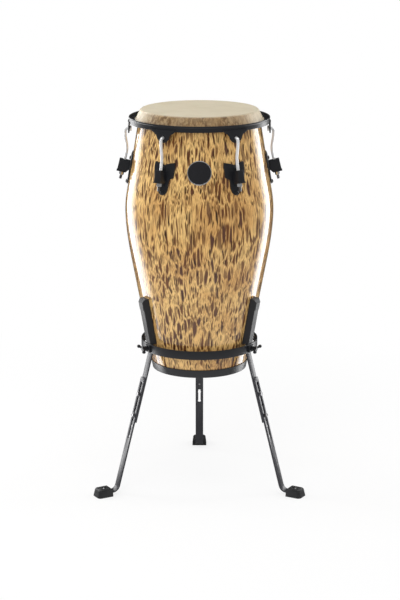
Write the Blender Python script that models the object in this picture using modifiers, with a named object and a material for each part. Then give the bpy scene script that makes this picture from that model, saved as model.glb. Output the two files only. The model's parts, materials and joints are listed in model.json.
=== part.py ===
# Tumba, the largest drum of a conga set, standing in a three-legged basket stand.
# Metres, +Z up, the front of the drum towards -Y. The origin is on the floor, under the middle of
# the whole object. Radii are measured from the drum's own axis.

import math

import bmesh
import bpy
import numpy as np
from mathutils import Matrix, Vector

# Clearances
SEAT_GAP = 0.0003
HOLE_GAP = 0.0003

# Every turned shape has this many sides, so that pieces which follow the shell share its flats.
SIDES = 36

# Shell
DRUM_BASE = 0.327
SHELL_LENGTH = 0.711
BASE_RADIUS = 0.1265
CONE_HEIGHT = 0.270
CONE_RADIUS = 0.1778
BELLY_HEIGHT = 0.443
BELLY_RADIUS = 0.2003
SHOULDER_HEIGHT = 0.540
SHOULDER_RADIUS = 0.1870
TOP_RADIUS = 0.15875
SHELL_WALL = 0.011
EDGE_INSET = 0.0045
EDGE_DROP = 0.009

# Band round the foot of the shell
BAND_HEIGHT = 0.0222
BAND_WALL = 0.0020
BAND_LIP = 0.0120

# Head and its hoop
SKIN = 0.0020
HEAD_OVERHANG = 0.00075
COLLAR_WIDTH = 0.02575
HOOP_WIDTH = 0.0100
HOOP_HEIGHT = 0.0055

# Rim
RIM_GAP = 0.0010
RIM_WALL = 0.0028
RIM_HEIGHT = 0.0165
RIM_DROP = 0.0176
RIM_BEAD = 0.0028
FLANGE_WIDTH = 0.0121
FLANGE_THICK = 0.0024
EAR_THICK = 0.0030
EAR_HALF_TOP = 0.0370
EAR_HALF_NECK = 0.0180
EAR_DEPTH = 0.0300
EAR_HOLE_GAP = 0.0010
EAR_HOLE_RISE = 0.0131

# Tuning hooks and nuts
LUG_COUNT = 6
HOOK_RADIUS = 0.0040
HOOK_BEND = 0.0080
HOOK_HEAD_RADIUS = 0.0070
HOOK_HEAD_THICK = 0.0050
HOOK_LENGTH = 0.1168
ROD_OUT = 0.0082
ROD_WAIST_IN = 0.0045
ROD_WAIST_RISE = 0.0653
THREAD_TILT = math.radians(13.6)
THREAD_OVERHANG = 0.0205
NUT_FLATS = 0.0130
NUT_HEIGHT = 0.0080

# Lug plates and their boxes
PLATE_THICK = 0.0040
PLATE_RISE = 0.0523
PLATE_LENGTH = 0.0860
PLATE_HALF_WIDTH = 0.0300
PLATE_HALF_WAIST = 0.0155
BOX_OUT = 0.022428655
BOX_LENGTH = 0.0338
BOX_REACH = 0.0136
BOX_WIDTH_TOP = 0.0160
BOX_WIDTH_FOOT = 0.0200
BOX_LIP = 0.0030
BOX_LIP_EDGE = 0.0012
BOX_INSET = 0.0095
BOX_SLANT = 0.0090
BOX_EDGE = 0.0015

# Backing plates and plate bolts
BACKING_THICK = 0.0030
BACKING_WIDTH = 0.0400
PLATE_BOLT_RADIUS = 0.0030
PLATE_BOLT_HEAD_RADIUS = 0.0056
PLATE_BOLT_HEAD = 0.0035
UPPER_BOLT_RISE = 0.0363
LOWER_BOLT_DROP = 0.0274

# Badge
BADGE_RADIUS = 0.0320
BADGE_RISE = 0.0275
BADGE_THICK = 0.0013
BADGE_EDGE_WIDTH = 0.0026
BADGE_EDGE_RISE = 0.0009

# Stand ring
RING_OUT = 0.02179
RING_WALL = 0.0040
RING_HEIGHT = 0.0230
RING_RISE = 0.0590
RING_CHAMFER = 0.0007

# Legs: flat bars
LEG_ANGLES = (90.0, 210.0, 330.0)
BAR_WIDTH = 0.0220
BAR_THICK = 0.0040
BEND_RADIUS = 0.0200
LEG_TILT = math.radians(15.64)
UPRIGHT_RISE = 0.1200
BAR_TAIL = 0.0180
LOWER_LEG_HEAD = 0.0170
FOOT_BEND_RADIUS = 0.0200
TONGUE_HEIGHT = 0.0090
TONGUE_REACH = 0.1555

# Leg adjustment: keyhole notches at a fixed pitch, two bolts two notches apart
FIRST_BOLT = 0.1200
NOTCH_PITCH = 0.0300
NOTCH_RADIUS = 0.0045
SLOT_WIDTH = 0.0062
BOLT_NOTCHES = (0, 2)
FIRST_NOTCH = -1
LAST_NOTCH = 4
BOLT_FLATS = 0.0100
BOLT_HEAD = 0.0040
BOLT_FLANGE_RADIUS = 0.0065
BOLT_FLANGE = 0.0014

# Rubber pads on the uprights
PAD_OUT = 0.0055
PAD_FACE_INSET = 0.0010
PAD_SIDE = 0.0015
PAD_ROOT = 0.0055
PAD_SHOULDER = 0.0045
PAD_LIP = 0.0010
PAD_CAP = 0.0230
PAD_CROWN = 0.0040
PAD_PEAK = 0.0120
PAD_RING_GAP = 0.0030

# Clamp blocks and wing screws
BLOCK_WIDTH = 0.0240
BLOCK_HEIGHT = 0.0190
BLOCK_THICK = 0.0050
SCREW_RADIUS = 0.0040
SCREW_INSIDE = 0.0020
WASHER_RADIUS = 0.0085
WASHER_THICK = 0.0016
HUB_RADIUS = 0.0065
HUB_LENGTH = 0.0130
WING_SPAN = 0.0152
WING_SWEEP = 0.0050
WING_BALL = 0.0052
WING_ARM = 0.0030
WING_TURNS = (65.0, -18.5, 18.5)

# Rubber feet
FOOT_GRIP = 0.0330
FOOT_TOE = 0.0109
FOOT_SIDE = 0.0095
FOOT_TOP_SIDE = 0.0050
FOOT_COVER = 0.0110
FOOT_SLOPE = 0.0090
FOOT_ROUND = 0.0090
FOOT_SCREW_INSET = 0.0150
FOOT_SCREW_RADIUS = 0.0022
FOOT_SCREW_HEAD = 0.0042
FOOT_DIMPLE_DEPTH = 0.0030

# The shell's outline, which other sizes follow
CONE_SLOPE = (CONE_RADIUS - BASE_RADIUS) / CONE_HEIGHT


def eased(start, start_slope, end, end_slope, steps):
    """Points between two stations, as a cubic with the given slopes. Leaves out the end."""
    (r0, h0), (r1, h1) = start, end
    span = h1 - h0
    points = []
    for i in range(steps):
        t = i / steps
        blend = 3 * t ** 2 - 2 * t ** 3
        lift = start_slope * span * (t ** 3 - 2 * t ** 2 + t) + end_slope * span * (t ** 3 - t ** 2)
        points.append((r0 + (r1 - r0) * blend + lift, h0 + span * t))
    return points


def shell_stations():
    """Outer radius and height of the shell, from its foot to its bearing edge."""
    cone = (CONE_RADIUS, CONE_HEIGHT)
    belly = (BELLY_RADIUS, BELLY_HEIGHT)
    shoulder = (SHOULDER_RADIUS, SHOULDER_HEIGHT)
    top_slope = (TOP_RADIUS - SHOULDER_RADIUS) / (SHELL_LENGTH - SHOULDER_HEIGHT)
    stations = [(BASE_RADIUS, 0.0)]
    stations += eased(cone, CONE_SLOPE, belly, 0.0, 4)
    stations += eased(belly, 0.0, shoulder, top_slope, 3)
    stations += [shoulder, (TOP_RADIUS, SHELL_LENGTH)]
    return stations


STATIONS = shell_stations()


def shell_radius(height):
    """Outer radius of the shell at a height above its foot."""
    return float(np.interp(height, [h for r, h in STATIONS], [r for r, h in STATIONS]))


def shell_slope(height):
    step = 0.004
    return (shell_radius(height + step) - shell_radius(height - step)) / (2 * step)


# Values that follow from the sizes above
DRUM_TOP = DRUM_BASE + SHELL_LENGTH
HEAD_EDGE_RADIUS = TOP_RADIUS + HEAD_OVERHANG
LAP_RADIUS = TOP_RADIUS + COLLAR_WIDTH
RIM_INNER = LAP_RADIUS + RIM_GAP
RIM_RADIUS = RIM_INNER + RIM_WALL
RIM_TOP = DRUM_TOP - RIM_DROP
RIM_FOOT = RIM_TOP - RIM_HEIGHT
HOOP_FOOT = RIM_FOOT + SEAT_GAP
HOOP_TOP = HOOP_FOOT + HOOP_HEIGHT
LAP_TOP = HOOP_TOP + SEAT_GAP + SKIN
HOOP_OUTER = LAP_RADIUS - SKIN - SEAT_GAP
HOOP_INNER = HOOP_OUTER - HOOP_WIDTH
EAR_INNER = RIM_RADIUS - RIM_WALL / 6
EAR_OUTER = RIM_RADIUS + EAR_THICK
EAR_FOOT = RIM_FOOT - EAR_DEPTH
SHANK_HEIGHT = EAR_FOOT + EAR_HOLE_RISE
ROD_RADIUS_AT_EAR = EAR_OUTER + ROD_OUT
ROD_WAIST_RADIUS = ROD_RADIUS_AT_EAR - ROD_WAIST_IN
BOX_FOOT_HEIGHT = SHANK_HEIGHT - HOOK_LENGTH - DRUM_BASE
BOX_FOOT = Vector((shell_radius(BOX_FOOT_HEIGHT) + BOX_OUT, 0.0, DRUM_BASE + BOX_FOOT_HEIGHT))
THREAD_UP = Vector((-math.sin(THREAD_TILT), 0.0, math.cos(THREAD_TILT)))
THREAD_OUT = Vector((math.cos(THREAD_TILT), 0.0, math.sin(THREAD_TILT)))
PLATE_TOP = BOX_FOOT_HEIGHT + PLATE_RISE
UPPER_BOLT_HEIGHT = BOX_FOOT_HEIGHT + UPPER_BOLT_RISE
LOWER_BOLT_HEIGHT = BOX_FOOT_HEIGHT - LOWER_BOLT_DROP
BADGE_HEIGHT = BOX_FOOT_HEIGHT + BADGE_RISE
FLAT_ANGLE = math.pi / SIDES
RING_BASE = DRUM_BASE + RING_RISE
RING_TOP = RING_BASE + RING_HEIGHT
RING_MIDDLE = RING_BASE + RING_HEIGHT / 2
RING_RADIUS = shell_radius(RING_RISE) + RING_OUT
RING_INNER = RING_RADIUS - RING_WALL
BAR_RADIUS = RING_INNER - BAR_WIDTH / 2 * math.tan(FLAT_ANGLE) - SEAT_GAP - BAR_THICK / 2
UPRIGHT_TOP = RING_TOP + UPRIGHT_RISE
BAR_BELOW_RING = FIRST_BOLT + NOTCH_PITCH * BOLT_NOTCHES[-1] + BAR_TAIL
LOWER_LEG_START = FIRST_BOLT + NOTCH_PITCH * FIRST_NOTCH - LOWER_LEG_HEAD
LEG_DOWN = Vector((math.sin(LEG_TILT), 0.0, -math.cos(LEG_TILT)))
LEG_OUT = Vector((math.cos(LEG_TILT), 0.0, math.sin(LEG_TILT)))
LEG_KNEE = Vector((BAR_RADIUS, 0.0, RING_BASE))
LOWER_OFFSET = BAR_THICK + SEAT_GAP
TONGUE_END = RING_RADIUS + TONGUE_REACH
PAD_HALF_FACE = BAR_WIDTH / 2 - PAD_FACE_INSET
PAD_HALF_BACK = BAR_WIDTH / 2 + PAD_SIDE
PAD_HALF_ROOT = BAR_WIDTH / 2 + PAD_ROOT
FOOT_INNER = TONGUE_END - FOOT_GRIP
FOOT_OUTER = TONGUE_END + FOOT_TOE
FOOT_HALF_WIDTH = BAR_WIDTH / 2 + FOOT_SIDE
FOOT_HALF_TOP = BAR_WIDTH / 2 + FOOT_TOP_SIDE
FOOT_TOP = TONGUE_HEIGHT + BAR_THICK / 2 + FOOT_COVER
FOOT_SCREW_AT = TONGUE_END - FOOT_SCREW_INSET

# Colours: red, green, blue, roughness, metallic
FINISHES = {
    "shell": (0.62, 0.36, 0.14, 0.18, 0.0),
    "skin": (0.78, 0.66, 0.46, 0.55, 0.0),
    "black_steel": (0.030, 0.031, 0.035, 0.38, 0.0),
    "chrome": (0.80, 0.81, 0.83, 0.10, 1.0),
    "zinc": (0.62, 0.62, 0.62, 0.30, 1.0),
    "rubber": (0.022, 0.022, 0.024, 0.62, 0.0),
    "badge": (0.020, 0.020, 0.022, 0.25, 0.0),
}


def clear_scene():
    for item in list(bpy.data.objects):
        bpy.data.objects.remove(item, do_unlink=True)


def new_collection(name):
    group = bpy.data.collections.new(name)
    bpy.context.scene.collection.children.link(group)
    return group


def make_materials():
    made = {}
    for name, (red, green, blue, rough, metal) in FINISHES.items():
        mat = bpy.data.materials.new(name)
        mat.use_nodes = True
        shader = mat.node_tree.nodes["Principled BSDF"]
        shader.inputs["Base Color"].default_value = (red, green, blue, 1.0)
        shader.inputs["Roughness"].default_value = rough
        shader.inputs["Metallic"].default_value = metal
        made[name] = mat
    return made


def piece(name, mesh, finish, turn=0.0, at=None, tilt=0.0):
    """A named solid on the drum's axis, turned to its azimuth. Its origin is at the point given."""
    obj = bpy.data.objects.new(name, mesh)
    PARTS.objects.link(obj)
    if not mesh.materials:
        mesh.materials.append(MATERIALS[finish])
    obj.parent = AXIS
    spot = Vector(at) if at else Vector((0.0, 0.0, 0.0))
    obj.location = Matrix.Rotation(turn, 4, "Z") @ spot
    obj.rotation_euler = (0.0, tilt, turn)
    return obj


def cutter(name, mesh, turn=0.0):
    """A helper solid for a Boolean, kept out of the model."""
    obj = bpy.data.objects.new(name, mesh)
    CUTTERS.objects.link(obj)
    obj.parent = AXIS
    obj.rotation_euler = (0.0, 0.0, turn)
    obj.hide_render = True
    obj.display_type = "WIRE"
    return obj


def combine(obj, other, operation):
    step = obj.modifiers.new(operation.lower(), "BOOLEAN")
    step.operation = operation
    step.object = other
    return obj


def turned(obj):
    """Turns the object's profile, which runs down its outer side, round the drum's axis."""
    screw = obj.modifiers.new("turn", "SCREW")
    screw.steps = SIDES
    screw.render_steps = SIDES
    screw.use_merge_vertices = True
    screw.merge_threshold = 0.00001
    return obj


def profile_mesh(name, points, closed=True):
    mesh = bpy.data.meshes.new(name)
    count = len(points)
    links = [(i, i + 1) for i in range(count - 1)]
    if closed:
        links.append((count - 1, 0))
    mesh.from_pydata([(r, 0.0, z) for r, z in points], links, [])
    return mesh


def turned_cutter(name, points, closed=True):
    return turned(cutter(name, profile_mesh(name, points, closed)))


def baked(obj, name):
    """The object's evaluated mesh, in its own axes, so that copies can share it."""
    bpy.context.view_layer.update()
    graph = bpy.context.evaluated_depsgraph_get()
    mesh = bpy.data.meshes.new_from_object(obj.evaluated_get(graph))
    mesh.name = name
    tidy = bmesh.new()
    tidy.from_mesh(mesh)
    bmesh.ops.remove_doubles(tidy, verts=tidy.verts, dist=0.000002)
    tidy.to_mesh(mesh)
    tidy.free()
    mesh.materials.clear()
    return mesh


def slab(name, outline, thick, matrix):
    """A flat outline with a thickness, from a filled 2D curve, moved by the matrix."""
    curve = bpy.data.curves.new(name, "CURVE")
    curve.dimensions = "2D"
    curve.fill_mode = "BOTH"
    curve.extrude = thick / 2
    spline = curve.splines.new("POLY")
    spline.points.add(len(outline) - 1)
    for point, (u, v) in zip(spline.points, outline):
        point.co = (u, v, 0.0, 1.0)
    spline.use_cyclic_u = True
    return mesh_from_curve(name, curve, matrix)


def rod(name, points, radius, matrix=Matrix()):
    """A round rod along a path."""
    curve = bpy.data.curves.new(name, "CURVE")
    curve.dimensions = "3D"
    curve.bevel_depth = radius
    curve.bevel_resolution = 2
    curve.use_fill_caps = True
    spline = curve.splines.new("POLY")
    spline.points.add(len(points) - 1)
    for point, spot in zip(spline.points, points):
        point.co = (spot[0], spot[1], spot[2], 1.0)
    return mesh_from_curve(name, curve, matrix)


def mesh_from_curve(name, curve, matrix):
    holder = bpy.data.objects.new(name, curve)
    CUTTERS.objects.link(holder)
    bpy.context.view_layer.update()
    graph = bpy.context.evaluated_depsgraph_get()
    mesh = bpy.data.meshes.new_from_object(holder.evaluated_get(graph))
    shape = bmesh.new()
    shape.from_mesh(mesh)
    bmesh.ops.remove_doubles(shape, verts=shape.verts, dist=0.000001)
    bmesh.ops.transform(shape, matrix=matrix, verts=shape.verts)
    bmesh.ops.recalc_face_normals(shape, faces=shape.faces)
    shape.to_mesh(mesh)
    shape.free()
    bpy.data.objects.remove(holder, do_unlink=True)
    bpy.data.curves.remove(curve)
    return mesh


def along(start, end):
    """The matrix that lays a primitive's Z axis from start to end, centred between them."""
    start, end = Vector(start), Vector(end)
    turn = (end - start).to_track_quat("Z", "Y").to_matrix().to_4x4()
    return Matrix.Translation((start + end) / 2) @ turn


def add_cylinder(shape, start, end, radius, sides, end_radius=None):
    length = (Vector(end) - Vector(start)).length
    last = radius if end_radius is None else end_radius
    bmesh.ops.create_cone(shape, cap_ends=True, segments=sides, radius1=radius, radius2=last,
                          depth=length, matrix=along(start, end))


def mesh_from_shape(name, shape):
    mesh = bpy.data.meshes.new(name)
    shape.to_mesh(mesh)
    shape.free()
    return mesh


def cylinders_mesh(name, rods, sides=12):
    """Separate cylinders in one mesh, for cutting several holes at once."""
    shape = bmesh.new()
    for start, end, radius in rods:
        add_cylinder(shape, start, end, radius, sides)
    return mesh_from_shape(name, shape)


def mirrored(half):
    """A closed outline from its right half, which starts and ends on the centre line."""
    left = [(-u, v) for u, v in reversed(half) if abs(u) > 1e-9]
    return list(half) + left


# An outline of radius and height, thick along the tangent
SIDE_VIEW = Matrix.Rotation(math.pi / 2, 4, "X")
# An outline of tangent and height, thick along the radius
FRONT_VIEW = Matrix(((0, 0, 1, 0), (1, 0, 0, 0), (0, 1, 0, 0), (0, 0, 0, 1)))


def lug_angles():
    return [math.tau * i / LUG_COUNT for i in range(LUG_COUNT)]


def leg_angles():
    return [math.radians(angle) for angle in LEG_ANGLES]


def shell_layer(low, high, inner, outer):
    """Closed profile of a layer that follows the shell's outside between two heights."""
    middle = [h for r, h in STATIONS if low < h < high]
    heights = [low] + middle + [high]
    outside = [(shell_radius(h) + outer, DRUM_BASE + h) for h in reversed(heights)]
    inside = [(shell_radius(h) + inner, DRUM_BASE + h) for h in heights]
    return outside + inside


def make_shell():
    foot = BAND_WALL + SEAT_GAP
    edge = SHELL_LENGTH - EDGE_DROP
    heights = [h for r, h in STATIONS if foot < h < edge]
    outside = [(shell_radius(h), DRUM_BASE + h) for h in [edge] + heights[::-1] + [foot]]
    inner_heights = [foot] + heights[:1] + heights[2:-3:2] + heights[-3:] + [edge]
    inside = [(shell_radius(h) - SHELL_WALL, DRUM_BASE + h) for h in inner_heights]
    peak = TOP_RADIUS - EDGE_INSET
    crown = [
        (peak - EDGE_INSET * 0.8, DRUM_TOP - EDGE_DROP * 0.22),
        (peak, DRUM_TOP),
        (peak + EDGE_INSET * 0.75, DRUM_TOP - EDGE_DROP * 0.25),
    ]
    shell = piece("shell", profile_mesh("shell", outside + inside + crown), "shell")
    turned(shell)
    holes = []
    for turn in lug_angles():
        spin = Matrix.Rotation(turn, 3, "Z")
        for height in (UPPER_BOLT_HEIGHT, LOWER_BOLT_HEIGHT):
            start, end = bolt_line(height, -2 * SHELL_WALL, SHELL_WALL)
            holes.append((spin @ start, spin @ end, PLATE_BOLT_RADIUS + HOLE_GAP))
    combine(shell, cutter("bolt_holes", cylinders_mesh("bolt_holes", holes, 8)), "DIFFERENCE")
    return shell


def bolt_line(height, low, high):
    """Two points on the line of a plate bolt, measured from the shell's surface along its normal."""
    lean = math.atan(-shell_slope(height))
    normal = Vector((math.cos(lean), 0.0, math.sin(lean)))
    surface = Vector((shell_radius(height), 0.0, DRUM_BASE + height))
    return surface + normal * low, surface + normal * high


def make_bottom_band():
    inner = shell_radius(BAND_HEIGHT) + SEAT_GAP
    foot_inner = BASE_RADIUS + SEAT_GAP
    chamfer = BAND_WALL / 2
    points = [
        (inner + BAND_WALL, DRUM_BASE + BAND_HEIGHT),
        (foot_inner + BAND_WALL, DRUM_BASE + chamfer),
        (foot_inner + BAND_WALL - chamfer, DRUM_BASE),
        (BASE_RADIUS - BAND_LIP, DRUM_BASE),
        (BASE_RADIUS - BAND_LIP, DRUM_BASE + BAND_WALL),
        (foot_inner + CONE_SLOPE * BAND_WALL, DRUM_BASE + BAND_WALL),
        (inner, DRUM_BASE + BAND_HEIGHT),
    ]
    return turned(piece("bottom_ring", profile_mesh("bottom_ring", points), "black_steel"))


def make_head():
    """Skin with a flat top, a sloping collar and a lap over the hoop."""
    under = DRUM_TOP + SEAT_GAP
    top = under + SKIN
    lap_inner = LAP_RADIUS - SKIN
    collar_foot = HOOP_INNER - SKIN * 0.3
    points = [
        (0.0, top),
        (HEAD_EDGE_RADIUS - SKIN * 2.6, top),
        (HEAD_EDGE_RADIUS - SKIN, top - SKIN * 0.45),
        (HEAD_EDGE_RADIUS + SKIN * 0.1, top - SKIN * 1.7),
        (collar_foot - SKIN * 0.6, LAP_TOP + SKIN * 1.2),
        (collar_foot + SKIN * 0.5, LAP_TOP),
        (LAP_RADIUS - SKIN * 0.6, LAP_TOP),
        (LAP_RADIUS, LAP_TOP - SKIN * 0.6),
        (LAP_RADIUS, HOOP_FOOT),
        (lap_inner, HOOP_FOOT),
        (lap_inner, HOOP_TOP + SEAT_GAP),
        (collar_foot, HOOP_TOP + SEAT_GAP),
        (collar_foot - SKIN * 1.6, LAP_TOP + SKIN * 0.4),
        (HEAD_EDGE_RADIUS - SKIN * 0.75, top - SKIN * 2.2),
        (HEAD_EDGE_RADIUS - SKIN * 2.3, under),
        (0.0, under),
    ]
    skin = piece("head_skin", profile_mesh("head_skin", points, closed=False), "skin")
    turned(skin)
    hoop = [
        (HOOP_OUTER, HOOP_TOP),
        (HOOP_OUTER, HOOP_FOOT),
        (HOOP_INNER, HOOP_FOOT),
        (HOOP_INNER, HOOP_TOP - HOOP_HEIGHT * 0.4),
        (HOOP_INNER + HOOP_HEIGHT * 0.4, HOOP_TOP),
    ]
    turned(piece("flesh_hoop", profile_mesh("flesh_hoop", hoop), "zinc"))


def ear_outline():
    """Right half of an ear: wide shoulders on the band, a neck and a round end."""
    shoulder = RIM_FOOT + EAR_THICK * 1.5
    half = [
        (0.0, shoulder),
        (EAR_HALF_TOP, shoulder),
        (EAR_HALF_TOP * 0.88, RIM_FOOT - EAR_DEPTH * 0.06),
        (EAR_HALF_NECK * 1.15, RIM_FOOT - EAR_DEPTH * 0.30),
        (EAR_HALF_NECK * 0.92, RIM_FOOT - EAR_DEPTH * 0.68),
        (EAR_HALF_NECK * 0.48, RIM_FOOT - EAR_DEPTH * 0.95),
        (0.0, EAR_FOOT),
    ]
    return mirrored(half)


def make_rim():
    """Band with a rolled top edge and an inner flange, six ears and their holes."""
    bead = RIM_BEAD
    flange_foot = LAP_TOP + SEAT_GAP
    points = [
        (RIM_INNER + bead * 0.7, RIM_TOP),
        (RIM_RADIUS + bead * 0.3, RIM_TOP - bead * 0.3),
        (RIM_RADIUS + bead * 0.4, RIM_TOP - bead * 1.2),
        (RIM_RADIUS, RIM_TOP - bead * 1.8),
        (RIM_RADIUS, RIM_FOOT),
        (RIM_INNER, RIM_FOOT),
        (RIM_INNER, flange_foot),
        (RIM_INNER - FLANGE_WIDTH, flange_foot),
        (RIM_INNER - FLANGE_WIDTH, flange_foot + FLANGE_THICK),
        (RIM_INNER, flange_foot + FLANGE_THICK),
        (RIM_INNER, RIM_TOP - bead * 0.7),
    ]
    rim = turned(piece("rim", profile_mesh("rim", points), "black_steel"))
    low, high = EAR_FOOT - EAR_THICK, RIM_TOP
    layer = [
        (EAR_OUTER, high),
        (EAR_OUTER, low),
        (EAR_INNER, low),
        (EAR_INNER, high),
    ]
    ears = turned_cutter("ears", layer)
    place = Matrix.Translation((EAR_OUTER, 0, 0)) @ FRONT_VIEW
    outline = slab("ear_outline", ear_outline(), EAR_OUTER * 0.5, place)
    combine(ears, cutter("ear_outlines", ring_of(outline, lug_angles())), "INTERSECT")
    combine(rim, ears, "UNION")
    hole = HOOK_RADIUS + EAR_HOLE_GAP
    spot = SHANK_HEIGHT + EAR_HOLE_GAP * 0.4
    holes = []
    for turn in lug_angles():
        spin = Matrix.Rotation(turn, 3, "Z")
        start = spin @ Vector((RIM_INNER - EAR_THICK, 0.0, spot))
        holes.append((start, spin @ Vector((EAR_OUTER + EAR_THICK, 0.0, spot)), hole))
    combine(rim, cutter("ear_holes", cylinders_mesh("ear_holes", holes, 10)), "DIFFERENCE")
    return rim


def ring_of(mesh, turns):
    """Copies of a mesh turned round the axis, as one mesh. The first mesh is used up."""
    shape = bmesh.new()
    for turn in turns:
        copy = mesh.copy()
        copy.transform(Matrix.Rotation(turn, 4, "Z"))
        shape.from_mesh(copy)
        bpy.data.meshes.remove(copy)
    bpy.data.meshes.remove(mesh)
    return mesh_from_shape("ring", shape)


def hook_path():
    """Radial shank, bend, waisted rod and tilted thread, in the plane of the lug."""
    corner = ROD_RADIUS_AT_EAR - HOOK_BEND
    path = [Vector((EAR_INNER - HOOK_HEAD_THICK / 2, 0.0, SHANK_HEIGHT))]
    for i in range(4):
        angle = math.radians(90.0 - 30.0 * i)
        path.append(Vector((corner + HOOK_BEND * math.cos(angle), 0.0,
                            SHANK_HEIGHT - HOOK_BEND + HOOK_BEND * math.sin(angle))))
    entry = BOX_FOOT + THREAD_UP * (BOX_LENGTH * 1.1)
    waist = (ROD_WAIST_RADIUS, DRUM_BASE + BOX_FOOT_HEIGHT + ROD_WAIST_RISE)
    start = (ROD_RADIUS_AT_EAR, SHANK_HEIGHT - HOOK_BEND * 1.9)
    down = eased(start, 0.0, waist, 0.0, 3)
    down += eased(waist, 0.0, (entry.x, entry.z), -math.tan(THREAD_TILT), 3)
    path += [Vector((r, 0.0, z)) for r, z in down]
    path.append(entry)
    path.append(BOX_FOOT - THREAD_UP * THREAD_OVERHANG)
    return path


def make_hooks():
    """Hooks and nuts. Both have their origin on the thread's axis, at the foot of the box."""
    shift = Matrix.Translation(-BOX_FOOT)
    stem = cutter("hook_stem", rod("hook_stem", hook_path(), HOOK_RADIUS, shift))
    head_face = EAR_INNER - HOOK_HEAD_RADIUS * math.tan(FLAT_ANGLE) - SEAT_GAP
    head = bmesh.new()
    add_cylinder(head, shift @ Vector((head_face - HOOK_HEAD_THICK, 0.0, SHANK_HEIGHT)),
                 shift @ Vector((head_face, 0.0, SHANK_HEIGHT)), HOOK_HEAD_RADIUS, 8)
    combine(stem, cutter("hook_head", mesh_from_shape("hook_head", head)), "UNION")
    hook_mesh = baked(stem, "hook")
    nut = bmesh.new()
    top = -SEAT_GAP
    corner = NUT_FLATS / math.sqrt(3.0)
    add_cylinder(nut, (0, 0, top - NUT_HEIGHT), (0, 0, top), corner, 6)
    nut_body = cutter("nut_body", mesh_from_shape("nut_body", nut))
    bore = [((0, 0, top - NUT_HEIGHT * 2), (0, 0, NUT_HEIGHT), HOOK_RADIUS + HOLE_GAP)]
    combine(nut_body, cutter("nut_bore", cylinders_mesh("nut_bore", bore, 10)), "DIFFERENCE")
    nut_mesh = baked(nut_body, "hook_nut")
    for i, turn in enumerate(lug_angles(), start=1):
        piece(f"hook_{i}", hook_mesh, "chrome", turn, at=BOX_FOOT)
        piece(f"hook_nut_{i}", nut_mesh, "chrome", turn, at=BOX_FOOT, tilt=-THREAD_TILT)


def plate_outline():
    """Outline of a lug plate: notched top, wide body, stepped waist and rounded foot."""
    top = DRUM_BASE + PLATE_TOP
    wide, waist, length = PLATE_HALF_WIDTH, PLATE_HALF_WAIST, PLATE_LENGTH
    half = [
        (0.0, top - length * 0.095),
        (wide * 0.20, top - length * 0.060),
        (wide * 0.97, top),
        (wide * 1.02, top - length * 0.13),
        (wide * 0.95, top - length * 0.455),
        (waist * 1.04, top - length * 0.53),
        (waist * 0.97, top - length * 0.80),
        (waist * 0.74, top - length * 0.92),
        (waist * 0.36, top - length * 0.985),
        (0.0, top - length),
    ]
    return mirrored(half)


def plate_middle(height):
    """Radius of the middle of a lug plate's thickness at a height above the floor."""
    return shell_radius(height - DRUM_BASE) + SEAT_GAP + PLATE_THICK / 2


def box_outline():
    """Side view of the raised box, from its outer foot round to its cut-away inner foot."""
    foot_out = BOX_FOOT + THREAD_OUT * BOX_REACH
    head_out = foot_out + THREAD_UP * BOX_LENGTH
    run = (head_out.x - plate_middle(head_out.z - BOX_INSET)) / THREAD_OUT.x
    head_in = head_out - THREAD_OUT * run
    foot_in = BOX_FOOT - THREAD_OUT * (BOX_INSET / THREAD_OUT.x)
    root = foot_in.z + BOX_SLANT
    return [foot_out, head_out, head_in, Vector((plate_middle(root), 0.0, root)), foot_in]


def box_mesh(outline):
    """The raised box, a block that widens towards its foot."""
    shape = bmesh.new()
    side = shape.faces.new([shape.verts.new((p.x, -0.5, p.z)) for p in outline])
    drawn = bmesh.ops.extrude_face_region(shape, geom=[side])
    moved = [g for g in drawn["geom"] if isinstance(g, bmesh.types.BMVert)]
    bmesh.ops.translate(shape, verts=moved, vec=(0.0, 1.0, 0.0))
    bmesh.ops.recalc_face_normals(shape, faces=shape.faces)
    for vert in shape.verts:
        share = (Vector((vert.co.x, 0.0, vert.co.z)) - BOX_FOOT).dot(THREAD_UP) / BOX_LENGTH
        vert.co.y *= BOX_WIDTH_FOOT + (BOX_WIDTH_TOP - BOX_WIDTH_FOOT) * share
    outer_edges = [e for e in shape.edges if all(v.co.x > BOX_FOOT.x for v in e.verts)]
    bmesh.ops.bevel(shape, geom=outer_edges, offset=BOX_EDGE, offset_type="OFFSET", segments=1,
                    affect="EDGES", profile=0.5, material=-1)
    return mesh_from_shape("box", shape)


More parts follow.
